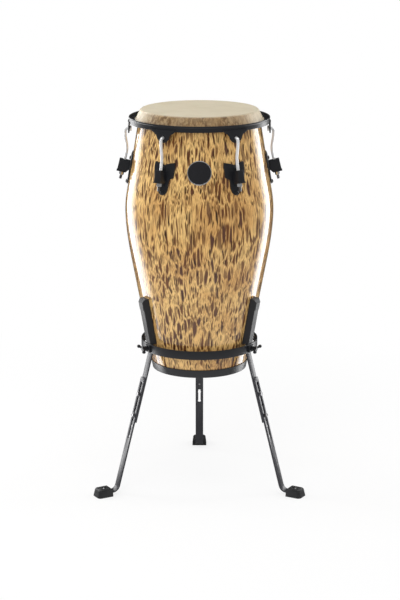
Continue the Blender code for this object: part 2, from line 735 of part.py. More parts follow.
def make_lug_plates():
    plate = turned_cutter("plate_layer", shell_layer(
        PLATE_TOP - PLATE_LENGTH * 1.1, PLATE_TOP + PLATE_LENGTH * 0.05, SEAT_GAP, SEAT_GAP + PLATE_THICK))
    reach = Matrix.Translation((BELLY_RADIUS, 0, 0)) @ FRONT_VIEW
    outline = slab("plate_outline", plate_outline(), BELLY_RADIUS, reach)
    combine(plate, cutter("plate_outline", outline), "INTERSECT")
    sides = box_outline()
    foot_out, foot_in = sides[0], sides[-1]
    combine(plate, cutter("plate_box", box_mesh(sides)), "UNION")
    edge = foot_out + THREAD_OUT * BOX_LIP_EDGE
    lip = [foot_in, edge, edge + THREAD_UP * BOX_LIP, foot_in + THREAD_UP * BOX_LIP]
    lip_mesh = slab("box_lip", [(p.x, p.z) for p in lip], BOX_WIDTH_FOOT + 2 * BOX_LIP_EDGE, SIDE_VIEW)
    combine(plate, cutter("box_lip", lip_mesh), "UNION")
    below = BOX_FOOT - THREAD_UP * BOX_LENGTH
    above = BOX_FOOT + THREAD_UP * BOX_LENGTH * 1.6
    bore = [(below, above, HOOK_RADIUS + HOLE_GAP)]
    combine(plate, cutter("plate_bore", cylinders_mesh("plate_bore", bore, 10)), "DIFFERENCE")
    holes = []
    for height in (UPPER_BOLT_HEIGHT, LOWER_BOLT_HEIGHT):
        start, end = bolt_line(height, -SHELL_WALL, SHELL_WALL)
        holes.append((start, end, PLATE_BOLT_RADIUS + HOLE_GAP))
    combine(plate, cutter("plate_holes", cylinders_mesh("plate_holes", holes, 8)), "DIFFERENCE")
    plate_mesh = baked(plate, "lug_plate")

    inner = -SHELL_WALL - SEAT_GAP
    backing = turned_cutter("backing_layer", shell_layer(
        PLATE_TOP - PLATE_LENGTH * 1.1, PLATE_TOP, inner - BACKING_THICK, inner))
    half = BACKING_WIDTH / 2
    low = DRUM_BASE + LOWER_BOLT_HEIGHT - half * 0.6
    high = DRUM_BASE + UPPER_BOLT_HEIGHT + half * 0.6
    corners = mirrored([(0.0, high), (half * 0.7, high), (half, high - half * 0.3),
                        (half, low + half * 0.3), (half * 0.7, low), (0.0, low)])
    cut = slab("backing_outline", corners, BELLY_RADIUS, reach)
    combine(backing, cutter("backing_outline", cut), "INTERSECT")
    bolts = bmesh.new()
    face = SEAT_GAP + PLATE_THICK + SEAT_GAP
    for height in (UPPER_BOLT_HEIGHT, LOWER_BOLT_HEIGHT):
        root, seat = bolt_line(height, inner - BACKING_THICK, face + PLATE_BOLT_HEAD * 0.5)
        add_cylinder(bolts, root, seat, PLATE_BOLT_RADIUS, 8)
    combine(backing, cutter("bolt_shanks", mesh_from_shape("bolt_shanks", bolts)), "UNION")
    heads = bmesh.new()
    for height in (UPPER_BOLT_HEIGHT, LOWER_BOLT_HEIGHT):
        seat, tip = bolt_line(height, face, face + PLATE_BOLT_HEAD)
        add_cylinder(heads, seat, tip, PLATE_BOLT_HEAD_RADIUS, 8, PLATE_BOLT_HEAD_RADIUS * 0.55)
    combine(backing, cutter("bolt_heads", mesh_from_shape("bolt_heads", heads)), "UNION")
    backing_mesh = baked(backing, "backing_plate")
    for i, turn in enumerate(lug_angles(), start=1):
        piece(f"lug_plate_{i}", plate_mesh, "black_steel", turn)
        piece(f"backing_plate_{i}", backing_mesh, "zinc", turn)


def make_badge():
    """Round plate that follows the shell, with a raised edge."""
    low = BADGE_HEIGHT - BADGE_RADIUS * 1.2
    high = BADGE_HEIGHT + BADGE_RADIUS * 1.2
    rise = SEAT_GAP + BADGE_THICK
    badge = turned_cutter("badge_layer", shell_layer(low, high, SEAT_GAP, rise + BADGE_EDGE_RISE))
    centre = DRUM_BASE + BADGE_HEIGHT
    start = (CONE_RADIUS * 0.8, 0.0, centre)
    end = (BELLY_RADIUS, 0.0, centre)
    disc = cylinders_mesh("badge_disc", [(start, end, BADGE_RADIUS)], 28)
    combine(badge, cutter("badge_disc", disc), "INTERSECT")
    face = turned_cutter("badge_face", shell_layer(low, high, rise, rise + 3 * BADGE_EDGE_RISE))
    core = cylinders_mesh("badge_core", [(start, end, BADGE_RADIUS - BADGE_EDGE_WIDTH)], 28)
    combine(face, cutter("badge_core", core), "INTERSECT")
    combine(badge, face, "DIFFERENCE")
    piece("badge", baked(badge, "badge"), "badge", math.radians(-90.0))


def make_stand_ring():
    edge = RING_CHAMFER
    points = [
        (RING_RADIUS - edge, RING_TOP),
        (RING_RADIUS, RING_TOP - edge),
        (RING_RADIUS, RING_BASE + edge),
        (RING_RADIUS - edge, RING_BASE),
        (RING_INNER, RING_BASE),
        (RING_INNER, RING_TOP),
    ]
    ring = turned(piece("stand_ring", profile_mesh("stand_ring", points), "black_steel"))
    holes = []
    for turn in leg_angles():
        spin = Matrix.Rotation(turn, 3, "Z")
        start = spin @ Vector((RING_INNER - RING_WALL, 0.0, RING_MIDDLE))
        end = spin @ Vector((RING_RADIUS + RING_WALL, 0.0, RING_MIDDLE))
        holes.append((start, end, SCREW_RADIUS + HOLE_GAP))
    combine(ring, cutter("ring_holes", cylinders_mesh("ring_holes", holes, 10)), "DIFFERENCE")
    return ring


def filleted(points, radius, steps=4):
    """A path with its inner corners rounded."""
    path = [Vector(points[0])]
    for before, corner, after in zip(points, points[1:], points[2:]):
        corner = Vector(corner)
        back = (Vector(before) - corner).normalized()
        forth = (Vector(after) - corner).normalized()
        half = back.angle(forth) / 2
        reach = radius / math.tan(half)
        centre = corner + (back + forth).normalized() * (radius / math.sin(half))
        start = (corner + back * reach - centre).normalized()
        end = (corner + forth * reach - centre).normalized()
        for i in range(steps + 1):
            path.append(centre + start.slerp(end, i / steps) * radius)
    path.append(Vector(points[-1]))
    return path


def bar_mesh(name, path, width, thick):
    """A flat bar: its middle line drawn out to its width, then given its thickness."""
    shape = bmesh.new()
    line = [shape.verts.new((p.x, -width / 2, p.z)) for p in path]
    edges = [shape.edges.new(pair) for pair in zip(line, line[1:])]
    drawn = bmesh.ops.extrude_edge_only(shape, edges=edges)
    moved = [g for g in drawn["geom"] if isinstance(g, bmesh.types.BMVert)]
    bmesh.ops.translate(shape, verts=moved, vec=(0.0, width, 0.0))
    bmesh.ops.recalc_face_normals(shape, faces=shape.faces)
    holder = cutter(name, mesh_from_shape(name, shape))
    wall = holder.modifiers.new("wall", "SOLIDIFY")
    wall.thickness = thick
    wall.offset = 0.0
    wall.use_even_offset = True
    wall.use_quality_normals = True
    mesh = baked(holder, name)
    bpy.data.objects.remove(holder, do_unlink=True)
    check = bmesh.new()
    check.from_mesh(mesh)
    bmesh.ops.recalc_face_normals(check, faces=check.faces)
    check.to_mesh(mesh)
    check.free()
    return mesh


def upright_path(extra=0.0):
    top = RING_TOP + PAD_RING_GAP / 2
    lean = Vector((CONE_SLOPE, 0.0, 1.0)).normalized()
    knee = Vector((BAR_RADIUS, 0.0, top))
    length = (UPRIGHT_TOP - top) / lean.z
    points = [knee + lean * (length + extra), knee, LEG_KNEE, LEG_KNEE + LEG_DOWN * BAR_BELOW_RING]
    return filleted(points, BEND_RADIUS)


def on_leg(distance, out=0.0):
    """A point along the leg below the ring, and its offset outwards from the upper bar's middle."""
    return LEG_KNEE + LEG_DOWN * distance + LEG_OUT * out


def bolt_places():
    return [FIRST_BOLT + NOTCH_PITCH * n for n in BOLT_NOTCHES]


def make_uprights():
    bar = cutter("upright_bar", bar_mesh("upright_bar", upright_path(), BAR_WIDTH, BAR_THICK))
    holes = [(on_leg(s, -2 * BAR_THICK), on_leg(s, 2 * BAR_THICK), SLOT_WIDTH / 2) for s in bolt_places()]
    holes.append(((BAR_RADIUS - BAR_THICK, 0, RING_MIDDLE), (BAR_RADIUS + BAR_THICK, 0, RING_MIDDLE),
                  SCREW_RADIUS + HOLE_GAP))
    combine(bar, cutter("upright_holes", cylinders_mesh("upright_holes", holes, 10)), "DIFFERENCE")
    mesh = baked(bar, "leg_upright")
    for i, turn in enumerate(leg_angles(), start=1):
        piece(f"leg_upright_{i}", mesh, "black_steel", turn)


def pad_block(face, foot, crown):
    """The sleeve's cross-section, drawn up along the lean of the shell."""
    outer = face + PAD_OUT + PAD_LIP
    plan = [
        (BASE_RADIUS * 0.9, PAD_HALF_ROOT),
        (face - PAD_SHOULDER * 2, PAD_HALF_ROOT - PAD_LIP),
        (outer - PAD_SHOULDER, PAD_HALF_BACK),
        (outer, PAD_HALF_FACE),
    ]
    rise = crown + PAD_PEAK * 2 - foot
    shape = bmesh.new()
    right = [shape.verts.new((r, -y, foot)) for r, y in plan]
    left = [shape.verts.new((r, y, foot)) for r, y in reversed(plan)]
    floor = shape.faces.new(right + left)
    drawn = bmesh.ops.extrude_face_region(shape, geom=[floor])
    moved = [g for g in drawn["geom"] if isinstance(g, bmesh.types.BMVert)]
    bmesh.ops.translate(shape, verts=moved, vec=(CONE_SLOPE * rise, 0.0, rise))
    bmesh.ops.recalc_face_normals(shape, faces=shape.faces)
    return mesh_from_shape("pad_block", shape)


def make_pads():
    """Rubber sleeves over the tops of the uprights, shaped to the shell on their inner side."""
    lean = Vector((CONE_SLOPE, 0.0, 1.0)).normalized()
    foot = RING_TOP + PAD_RING_GAP
    face = BAR_RADIUS + lean.z * BAR_THICK / 2 + SEAT_GAP
    crown = UPRIGHT_TOP + PAD_CROWN
    lip = UPRIGHT_TOP - PAD_CAP

    def outer(height, proud):
        return (face + proud + CONE_SLOPE * (height - foot), height)

    inside = BASE_RADIUS * 0.8
    side = [
        (inside, foot - PAD_LIP),
        outer(foot - PAD_LIP, PAD_OUT),
        outer(lip, PAD_OUT),
        outer(lip + PAD_LIP, PAD_OUT + PAD_LIP * 1.5),
        outer(crown - PAD_CROWN, PAD_OUT + PAD_LIP * 1.5),
        outer(crown, PAD_OUT - PAD_CROWN * 0.6),
        outer(crown + PAD_PEAK * 0.35, 0.0),
        (inside, crown + PAD_PEAK * 1.3),
    ]
    pad = cutter("pad_block", pad_block(face, foot, crown))
    profile = slab("pad_side", side, PAD_HALF_ROOT * 4, SIDE_VIEW)
    combine(pad, cutter("pad_side", profile), "INTERSECT")
    low = (foot - DRUM_BASE) * 0.5
    high = UPRIGHT_TOP - DRUM_BASE + PAD_PEAK * 4
    heights = [h for r, h in STATIONS if low < h < high]
    cone = [(shell_radius(h) + SEAT_GAP, DRUM_BASE + h) for h in [high] + heights[::-1] + [low]]
    solid = [(0.0, cone[0][1])] + cone + [(0.0, cone[-1][1])]
    combine(pad, turned_cutter("pad_cone", solid, closed=False), "DIFFERENCE")
    around = 2 * SEAT_GAP
    pocket = bar_mesh("pad_pocket", upright_path(SEAT_GAP), BAR_WIDTH + around, BAR_THICK + around)
    combine(pad, cutter("pad_pocket", pocket), "DIFFERENCE")
    mesh = baked(pad, "rubber_pad")
    for i, turn in enumerate(leg_angles(), start=1):
        piece(f"rubber_pad_{i}", mesh, "rubber", turn)


def slot_outline():
    """Keyhole slot along the leg: round notches at the pitch, joined by a narrower slot."""
    neck = math.asin(SLOT_WIDTH / 2 / NOTCH_RADIUS)
    side = []
    for n in range(FIRST_NOTCH, LAST_NOTCH + 1):
        start = math.pi if n == FIRST_NOTCH else math.pi - neck
        end = 0.0 if n == LAST_NOTCH else neck
        steps = 4 if n in (FIRST_NOTCH, LAST_NOTCH) else 3
        for i in range(steps + 1):
            angle = start + (end - start) * i / steps
            side.append((NOTCH_PITCH * n + NOTCH_RADIUS * math.cos(angle), NOTCH_RADIUS * math.sin(angle)))
    other = [(u, -v) for u, v in reversed(side) if v > 1e-6]
    return side + other


def lower_leg_path():
    start = on_leg(LOWER_LEG_START, LOWER_OFFSET)
    run = (start.z - TONGUE_HEIGHT) / -LEG_DOWN.z
    heel = start + LEG_DOWN * run
    return filleted([start, heel, Vector((TONGUE_END, 0.0, TONGUE_HEIGHT))], FOOT_BEND_RADIUS, 6)


def make_lower_legs():
    bar = cutter("lower_bar", bar_mesh("lower_bar", lower_leg_path(), BAR_WIDTH, BAR_THICK))
    frame = Matrix((
        (LEG_DOWN.x, 0.0, LEG_OUT.x, 0.0),
        (0.0, 1.0, 0.0, 0.0),
        (LEG_DOWN.z, 0.0, LEG_OUT.z, 0.0),
        (0.0, 0.0, 0.0, 1.0),
    ))
    spot = Matrix.Translation(on_leg(FIRST_BOLT, LOWER_OFFSET)) @ frame
    combine(bar, cutter("leg_slot", slab("leg_slot", slot_outline(), BAR_THICK * 3, spot)), "DIFFERENCE")
    hole = [((FOOT_SCREW_AT, 0, 0), (FOOT_SCREW_AT, 0, FOOT_TOP), FOOT_SCREW_RADIUS + HOLE_GAP)]
    combine(bar, cutter("tongue_hole", cylinders_mesh("tongue_hole", hole, 8)), "DIFFERENCE")
    mesh = baked(bar, "lower_leg")
    for i, turn in enumerate(leg_angles(), start=1):
        piece(f"lower_leg_{i}", mesh, "black_steel", turn)


def make_leg_bolts():
    """Hexagon flange bolts, drawn from the outer bar's face inwards along their own axis."""
    face = LOWER_OFFSET + BAR_THICK / 2 + SEAT_GAP
    shape = bmesh.new()
    add_cylinder(shape, (0, 0, -BAR_THICK / 2), (0, 0, face + BOLT_FLANGE / 2), SLOT_WIDTH / 2 - HOLE_GAP, 8)
    bolt = cutter("bolt_shank", mesh_from_shape("bolt_shank", shape))
    flange = bmesh.new()
    add_cylinder(flange, (0, 0, face), (0, 0, face + BOLT_FLANGE), BOLT_FLANGE_RADIUS, 12)
    combine(bolt, cutter("bolt_flange", mesh_from_shape("bolt_flange", flange)), "UNION")
    head = bmesh.new()
    add_cylinder(head, (0, 0, face + BOLT_FLANGE / 2), (0, 0, face + BOLT_FLANGE + BOLT_HEAD),
                 BOLT_FLATS / math.sqrt(3.0), 6)
    combine(bolt, cutter("bolt_hexagon", mesh_from_shape("bolt_hexagon", head)), "UNION")
    mesh = baked(bolt, "leg_bolt")
    for i, turn in enumerate(leg_angles(), start=1):
        for letter, distance in zip("ab", bolt_places()):
            name = f"leg_bolt_{i}{letter}"
            piece(name, mesh, "zinc", turn, at=on_leg(distance), tilt=math.pi / 2 - LEG_TILT)


def make_clamps():
    """Blocks on the ring's outside, and wing screws whose origin is on their own axis."""
    seat = RING_RADIUS + SEAT_GAP
    block = bmesh.new()
    bmesh.ops.create_cube(block, size=1.0)
    depth = BLOCK_THICK * 2
    bmesh.ops.scale(block, vec=(depth, BLOCK_WIDTH, BLOCK_HEIGHT), verts=block.verts)
    bmesh.ops.translate(block, vec=(seat + BLOCK_THICK - depth / 2, 0.0, RING_MIDDLE), verts=block.verts)
    outer_edges = [e for e in block.edges if all(v.co.x > seat for v in e.verts)]
    bmesh.ops.bevel(block, geom=outer_edges, offset=BLOCK_THICK * 0.2, offset_type="OFFSET", segments=1,
                    affect="EDGES", profile=0.5, material=-1)
    body = cutter("block_body", mesh_from_shape("block_body", block))
    round_ring = [(0.0, RING_TOP), (seat, RING_TOP), (seat, RING_BASE), (0.0, RING_BASE)]
    combine(body, turned_cutter("block_seat", round_ring, closed=False), "DIFFERENCE")
    hole = [((RING_INNER, 0, RING_MIDDLE), (RING_RADIUS * 1.2, 0, RING_MIDDLE), SCREW_RADIUS + HOLE_GAP)]
    combine(body, cutter("block_hole", cylinders_mesh("block_hole", hole)), "DIFFERENCE")
    block_mesh = baked(body, "clamp_block")

    start = BAR_RADIUS - BAR_THICK / 2 - SCREW_INSIDE
    washer = seat + BLOCK_THICK + SEAT_GAP - start
    hub = washer + WASHER_THICK
    end = hub + HUB_LENGTH
    shank = bmesh.new()
    add_cylinder(shank, (0, 0, 0), (hub, 0, 0), SCREW_RADIUS, 10)
    screw = cutter("screw_shank", mesh_from_shape("screw_shank", shank))
    rods = [
        ((washer, 0, 0), (hub, 0, 0), WASHER_RADIUS),
        ((hub - WASHER_THICK / 2, 0, 0), (end, 0, 0), HUB_RADIUS),
    ]
    for section in rods:
        combine(screw, cutter("screw_part", cylinders_mesh("screw_part", [section], 12)), "UNION")
    reach = end - HUB_RADIUS * 0.5 + WING_SWEEP
    for sign in (-1.0, 1.0):
        arm = bmesh.new()
        add_cylinder(arm, (end - HUB_RADIUS, 0, 0), (reach, sign * WING_SPAN, 0), WING_ARM, 6)
        combine(screw, cutter("wing_arm", mesh_from_shape("wing_arm", arm)), "UNION")
        ball = bmesh.new()
        spot = Matrix.Translation((reach, sign * WING_SPAN, 0.0))
        bmesh.ops.create_icosphere(ball, subdivisions=2, radius=WING_BALL, matrix=spot)
        combine(screw, cutter("wing_ball", mesh_from_shape("wing_ball", ball)), "UNION")
    screw_mesh = baked(screw, "wing_screw")
    for i, (turn, wing) in enumerate(zip(leg_angles(), WING_TURNS), start=1):
        piece(f"clamp_block_{i}", block_mesh, "black_steel", turn)
        obj = piece(f"wing_screw_{i}", screw_mesh, "black_steel", turn, at=(start, 0.0, RING_MIDDLE))
        obj.rotation_euler = (math.radians(wing), 0.0, turn)


def make_feet():
    shape = bmesh.new()
    bmesh.ops.create_cube(shape, size=2.0)
    for vert in shape.verts:
        outer, side, upper = vert.co.x > 0, vert.co.y, vert.co.z > 0
        reach = FOOT_OUTER - (FOOT_SLOPE if upper else 0.0)
        width = FOOT_HALF_TOP if upper else FOOT_HALF_WIDTH
        vert.co = Vector((reach if outer else FOOT_INNER, side * width, FOOT_TOP if upper else 0.0))
    corners = [e for e in shape.edges if all(v.co.x > FOOT_INNER + FOOT_SLOPE for v in e.verts)
               and abs(e.verts[0].co.z - e.verts[1].co.z) > FOOT_TOP / 2]
    bmesh.ops.bevel(shape, geom=corners, offset=FOOT_ROUND, offset_type="OFFSET", segments=4,
                    affect="EDGES", profile=0.5, material=-1)
    top = [e for e in shape.edges if all(v.co.z > FOOT_TOP * 0.9 for v in e.verts)]
    bmesh.ops.bevel(shape, geom=top, offset=0.0015, offset_type="OFFSET", segments=1,
                    affect="EDGES", profile=0.5, material=-1)
    foot = cutter("foot_body", mesh_from_shape("foot_body", shape))
    room = bmesh.new()
    bmesh.ops.create_cube(room, size=1.0)
    length = TONGUE_END + SEAT_GAP - FOOT_INNER
    wide, thick = BAR_WIDTH + 2 * SEAT_GAP, BAR_THICK + 2 * SEAT_GAP
    bmesh.ops.scale(room, vec=(length * 2, wide, thick), verts=room.verts)
    bmesh.ops.translate(room, vec=(FOOT_INNER, 0.0, TONGUE_HEIGHT), verts=room.verts)
    combine(foot, cutter("foot_pocket", mesh_from_shape("foot_pocket", room)), "DIFFERENCE")
    dimple_foot = FOOT_TOP - FOOT_DIMPLE_DEPTH
    above = (FOOT_SCREW_AT, 0, FOOT_TOP * 1.5)
    hole = [((FOOT_SCREW_AT, 0, TONGUE_HEIGHT), above, FOOT_SCREW_RADIUS + HOLE_GAP)]
    combine(foot, cutter("foot_hole", cylinders_mesh("foot_hole", hole, 8)), "DIFFERENCE")
    dimple = [((FOOT_SCREW_AT, 0, dimple_foot), above, FOOT_SCREW_HEAD + HOLE_GAP * 3)]
    combine(foot, cutter("foot_dimple", cylinders_mesh("foot_dimple", dimple)), "DIFFERENCE")
    foot_mesh = baked(foot, "foot")
    shank = bmesh.new()
    low = TONGUE_HEIGHT - BAR_THICK / 2
    seat = dimple_foot + SEAT_GAP
    add_cylinder(shank, (0, 0, low), (0, 0, seat + SEAT_GAP), FOOT_SCREW_RADIUS, 8)
    screw = cutter("foot_shank", mesh_from_shape("foot_shank", shank))
    head = bmesh.new()
    add_cylinder(head, (0, 0, seat), (0, 0, FOOT_TOP - SEAT_GAP), FOOT_SCREW_HEAD, 12, FOOT_SCREW_HEAD * 0.6)
    combine(screw, cutter("foot_screw_head", mesh_from_shape("foot_screw_head", head)), "UNION")
    screw_mesh = baked(screw, "foot_screw")
    for i, turn in enumerate(leg_angles(), start=1):
        piece(f"foot_{i}", foot_mesh, "rubber", turn)
        piece(f"foot_screw_{i}", screw_mesh, "zinc", turn, at=(FOOT_SCREW_AT, 0.0, 0.0))


def centre_on_floor():
    """Moves the drum's axis so that the whole object's box is centred on the origin."""
    bpy.context.view_layer.update()
    graph = bpy.context.evaluated_depsgraph_get()
    low, high = math.inf, -math.inf
    for obj in PARTS.objects:
        if obj.type != "MESH":
            continue
        ready = obj.evaluated_get(graph)
        reach = [(ready.matrix_world @ Vector(corner)).y for corner in ready.bound_box]
        if max(reach) < high and min(reach) > low:
            continue
        rows = [(ready.matrix_world @ vert.co).y for vert in ready.data.vertices]
        low, high = min(low, min(rows)), max(high, max(rows))
    AXIS.location.y = -(low + high) / 2
    bpy.context.view_layer.update()


def shade_round_pieces():
    for obj in PARTS.objects:
        if obj.type == "MESH" and obj.data.polygons:
            obj.data.shade_smooth()
            obj.data.set_sharp_from_angle(angle=math.radians(35.0))


clear_scene()
PARTS = new_collection("tumba")
CUTTERS = new_collection("cutters")
MATERIALS = make_materials()
AXIS = bpy.data.objects.new("drum_axis", None)
PARTS.objects.link(AXIS)

make_shell()
make_bottom_band()
make_head()
make_rim()
make_hooks()
make_lug_plates()
make_badge()
make_stand_ring()
make_uprights()
make_pads()
make_lower_legs()
make_leg_bolts()
make_clamps()
make_feet()
shade_round_pieces()
centre_on_floor()
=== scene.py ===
import json
import math

import bmesh
import bpy
from mathutils import Matrix, Vector

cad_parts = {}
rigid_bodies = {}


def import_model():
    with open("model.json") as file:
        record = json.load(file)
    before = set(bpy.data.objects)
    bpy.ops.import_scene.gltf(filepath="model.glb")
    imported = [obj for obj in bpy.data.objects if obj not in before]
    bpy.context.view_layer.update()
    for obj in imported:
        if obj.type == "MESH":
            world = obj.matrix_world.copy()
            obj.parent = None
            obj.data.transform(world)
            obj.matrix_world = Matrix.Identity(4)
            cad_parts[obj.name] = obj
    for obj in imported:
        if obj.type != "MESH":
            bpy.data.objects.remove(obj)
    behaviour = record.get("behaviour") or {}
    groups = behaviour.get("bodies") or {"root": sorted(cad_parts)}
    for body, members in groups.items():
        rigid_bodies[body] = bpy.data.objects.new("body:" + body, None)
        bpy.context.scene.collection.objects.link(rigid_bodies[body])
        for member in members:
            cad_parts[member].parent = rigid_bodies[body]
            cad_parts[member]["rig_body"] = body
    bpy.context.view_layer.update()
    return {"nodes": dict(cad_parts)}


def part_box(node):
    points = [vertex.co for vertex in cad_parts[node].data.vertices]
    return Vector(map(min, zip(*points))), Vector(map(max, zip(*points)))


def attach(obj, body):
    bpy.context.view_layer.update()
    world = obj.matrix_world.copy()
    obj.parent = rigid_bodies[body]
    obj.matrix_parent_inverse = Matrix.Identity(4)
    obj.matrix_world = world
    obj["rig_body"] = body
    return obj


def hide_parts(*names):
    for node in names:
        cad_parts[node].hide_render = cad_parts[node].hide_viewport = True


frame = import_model()

# The tumba stands on the floor. Every turned piece is centred on the drum's own axis.
shellLow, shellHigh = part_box("shell")
drumAxis = Vector((0.0, (shellLow.y + shellHigh.y) / 2, 0.0))
seatGap = 0.0003  # between pieces that rest on each other
lugCount = 6
lugTurns = [math.tau * i / lugCount for i in range(lugCount)]
legTurns = [math.radians(angle) for angle in (90.0, 210.0, 330.0)]


# Camera, floor and light
cameraView = {
    "back": 5.1176, "height": 1.7973, "down": 14.0977, "lens": 115.56, "sensor": 36.0, "shift": 0.001,
    "clip": 200.0,
}
studio = {
    # the light all round, and how bright the room looks in metal and lacquer
    "ambient": 0.60, "front": 0.20, "side": 0.27, "back": 0.10, "frontEnd": (-0.85, -0.15), "backStart": (0.62, 0.82),
    # the floor: its paint, where its plain white begins, and how it looks in metal and lacquer
    "floor": 0.86, "floorSize": 60.0, "floorDrop": 0.0005, "floorNear": 0.75, "whiteStart": (0.35, 1.6),
    "ground": 0.85, "groundFar": 0.28, "groundFade": (0.7, 1.9), "groundBack": (0.55, 0.85),
}
lamps = {
    "topBox": {"at": (0.0, -0.5, 3.1), "aim": (0.0, 0.0, 0.9), "size": (2.2, 1.6), "watts": 14.0,
               "diffuse": True, "gloss": True},
    "leftBox": {"at": (-2.3, 0.75, 1.15), "aim": (0.0, 0.0, 0.75), "size": (0.75, 2.1), "watts": 34.0,
                "diffuse": True, "gloss": False},
    "rightBox": {"at": (2.4, 0.55, 1.15), "aim": (0.0, 0.0, 0.75), "size": (0.55, 2.1), "watts": 24.0,
                 "diffuse": True, "gloss": False},
    "frontFill": {"at": (-1.0, -3.6, 2.3), "aim": (0.0, 0.0, 0.7), "size": (2.4, 2.4), "watts": 68.0,
                  "diffuse": True, "gloss": False},
    "leftSheen": {"at": (-0.4924, 0.1958, 0.75), "aim": (-0.0341, -0.0042, 0.75), "size": (0.368, 1.4),
                  "roll": 0.245, "watts": 8.6, "diffuse": False, "gloss": True, "fade": (0.92, 0.42)},
    "rightSheen": {"at": (0.5136, 0.1525, 0.75), "aim": (0.0436, -0.0145, 0.75), "size": (0.2825, 1.4),
                   "roll": 0.0, "watts": 7.0, "diffuse": False, "gloss": True, "fade": (0.06, 0.64)},
}


def placeCamera():
    data = bpy.data.cameras.new("camera")
    data.lens = cameraView["lens"]
    data.sensor_width = cameraView["sensor"]
    data.shift_x = cameraView["shift"]
    data.clip_end = cameraView["clip"]
    camera = bpy.data.objects.new("camera", data)
    camera.location = (0.0, drumAxis.y - cameraView["back"], cameraView["height"])
    camera.rotation_euler = (math.radians(90.0 - cameraView["down"]), 0.0, 0.0)
    bpy.context.scene.collection.objects.link(camera)
    bpy.context.scene.camera = camera


def feed(tree, node, inputs):
    # A socket is linked, and a number or colour is set
    for name, value in inputs.items():
        if isinstance(value, bpy.types.NodeSocket):
            tree.links.new(value, node.inputs[name])
        else:
            node.inputs[name].default_value = value


def addNode(tree, kind, inputs=None, **settings):
    node = tree.nodes.new(kind)
    for name, value in settings.items():
        setattr(node, name, value)
    feed(tree, node, inputs or {})
    return node


def mathNode(tree, operation, first, second=0.5):
    return addNode(tree, "ShaderNodeMath", {0: first, 1: second}, operation=operation).outputs[0]


def times(tree, first, second):
    return mathNode(tree, "MULTIPLY", first, second)


def vectorNode(tree, operation, first, second=(0.0, 0.0, 0.0)):
    return addNode(tree, "ShaderNodeVectorMath", {0: first, 1: second}, operation=operation).outputs


def noiseNode(tree, place, scale, detail, rough=0.5):
    inputs = {"Vector": place, "Scale": scale, "Detail": detail, "Roughness": rough}
    return addNode(tree, "ShaderNodeTexNoise", inputs).outputs


def rangeNode(tree, value, low, high, toLow=0.0, toHigh=1.0):
    inputs = {0: value, 1: low, 2: high, 3: toLow, 4: toHigh}
    return addNode(tree, "ShaderNodeMapRange", inputs, interpolation_type="SMOOTHSTEP").outputs[0]


def mixColours(tree, factor, first, second):
    return addNode(tree, "ShaderNodeMix", {0: factor, 6: first, 7: second}, data_type="RGBA").outputs[2]


def seenDirectly(tree):
    # 1 for a ray from the camera, or one that metal or lacquer sends on
    path = addNode(tree, "ShaderNodeLightPath")
    mirrored = mathNode(tree, "MAXIMUM", path.outputs["Is Glossy Ray"], path.outputs["Is Transmission Ray"])
    return path.outputs["Is Camera Ray"], mathNode(tree, "MAXIMUM", path.outputs["Is Camera Ray"], mirrored)


def roomLook(tree, y):
    # How bright the room looks in metal and lacquer: paler at the sides than in front and behind
    near = rangeNode(tree, y, *studio["frontEnd"], studio["front"], studio["side"])
    return times(tree, near, rangeNode(tree, y, *studio["backStart"], 1.0, studio["back"]))


def lightWorld():
    world = bpy.data.worlds.new("studio")
    bpy.context.scene.world = world
    world.use_nodes = True
    tree = world.node_tree
    camera, seen = seenDirectly(tree)
    direction = addNode(tree, "ShaderNodeTexCoord").outputs["Generated"]
    split = addNode(tree, "ShaderNodeSeparateXYZ", {0: direction})
    look = mathNode(tree, "MAXIMUM", camera, roomLook(tree, split.outputs["Y"]))
    ambient = times(tree, mathNode(tree, "SUBTRACT", 1.0, seen), studio["ambient"])
    strength = mathNode(tree, "ADD", ambient, times(tree, seen, look))
    background = tree.nodes["Background"]
    background.inputs["Color"].default_value = (1.0, 1.0, 1.0, 1.0)
    tree.links.new(strength, background.inputs["Strength"])


def layFloor():
    bm = bmesh.new()
    bmesh.ops.create_grid(bm, x_segments=2, y_segments=2, size=studio["floorSize"])
    mesh = bpy.data.meshes.new("floor")
    bm.to_mesh(mesh)
    bm.free()
    floor = bpy.data.objects.new("floor", mesh)
    floor.location.z = -studio["floorDrop"]
    bpy.context.scene.collection.objects.link(floor)
    material = bpy.data.materials.new("paleFloor")
    material.use_nodes = True
    tree = material.node_tree
    tree.nodes.clear()
    camera, seen = seenDirectly(tree)
    place = addNode(tree, "ShaderNodeTexCoord").outputs["Object"]
    split = addNode(tree, "ShaderNodeSeparateXYZ", {0: place})
    distance = vectorNode(tree, "LENGTH", place)["Value"]
    white = rangeNode(tree, distance, *studio["whiteStart"], studio["floorNear"], 1.0)
    toward = mathNode(tree, "DIVIDE", split.outputs["Y"], distance)
    ground = times(tree, rangeNode(tree, distance, *studio["groundFade"], studio["ground"], studio["groundFar"]),
                   rangeNode(tree, toward, *studio["groundBack"], 1.0, studio["back"]))
    glow = addNode(tree, "ShaderNodeEmission", {"Strength": mathNode(tree, "MAXIMUM", camera, ground)})
    tone = studio["floor"]
    paint = addNode(tree, "ShaderNodeBsdfDiffuse", {"Color": (tone, tone, tone, 1.0)})
    share = times(tree, seen, white)
    both = addNode(tree, "ShaderNodeMixShader", {0: share, 1: paint.outputs[0], 2: glow.outputs[0]})
    addNode(tree, "ShaderNodeOutputMaterial", {"Surface": both.outputs[0]})
    mesh.materials.append(material)


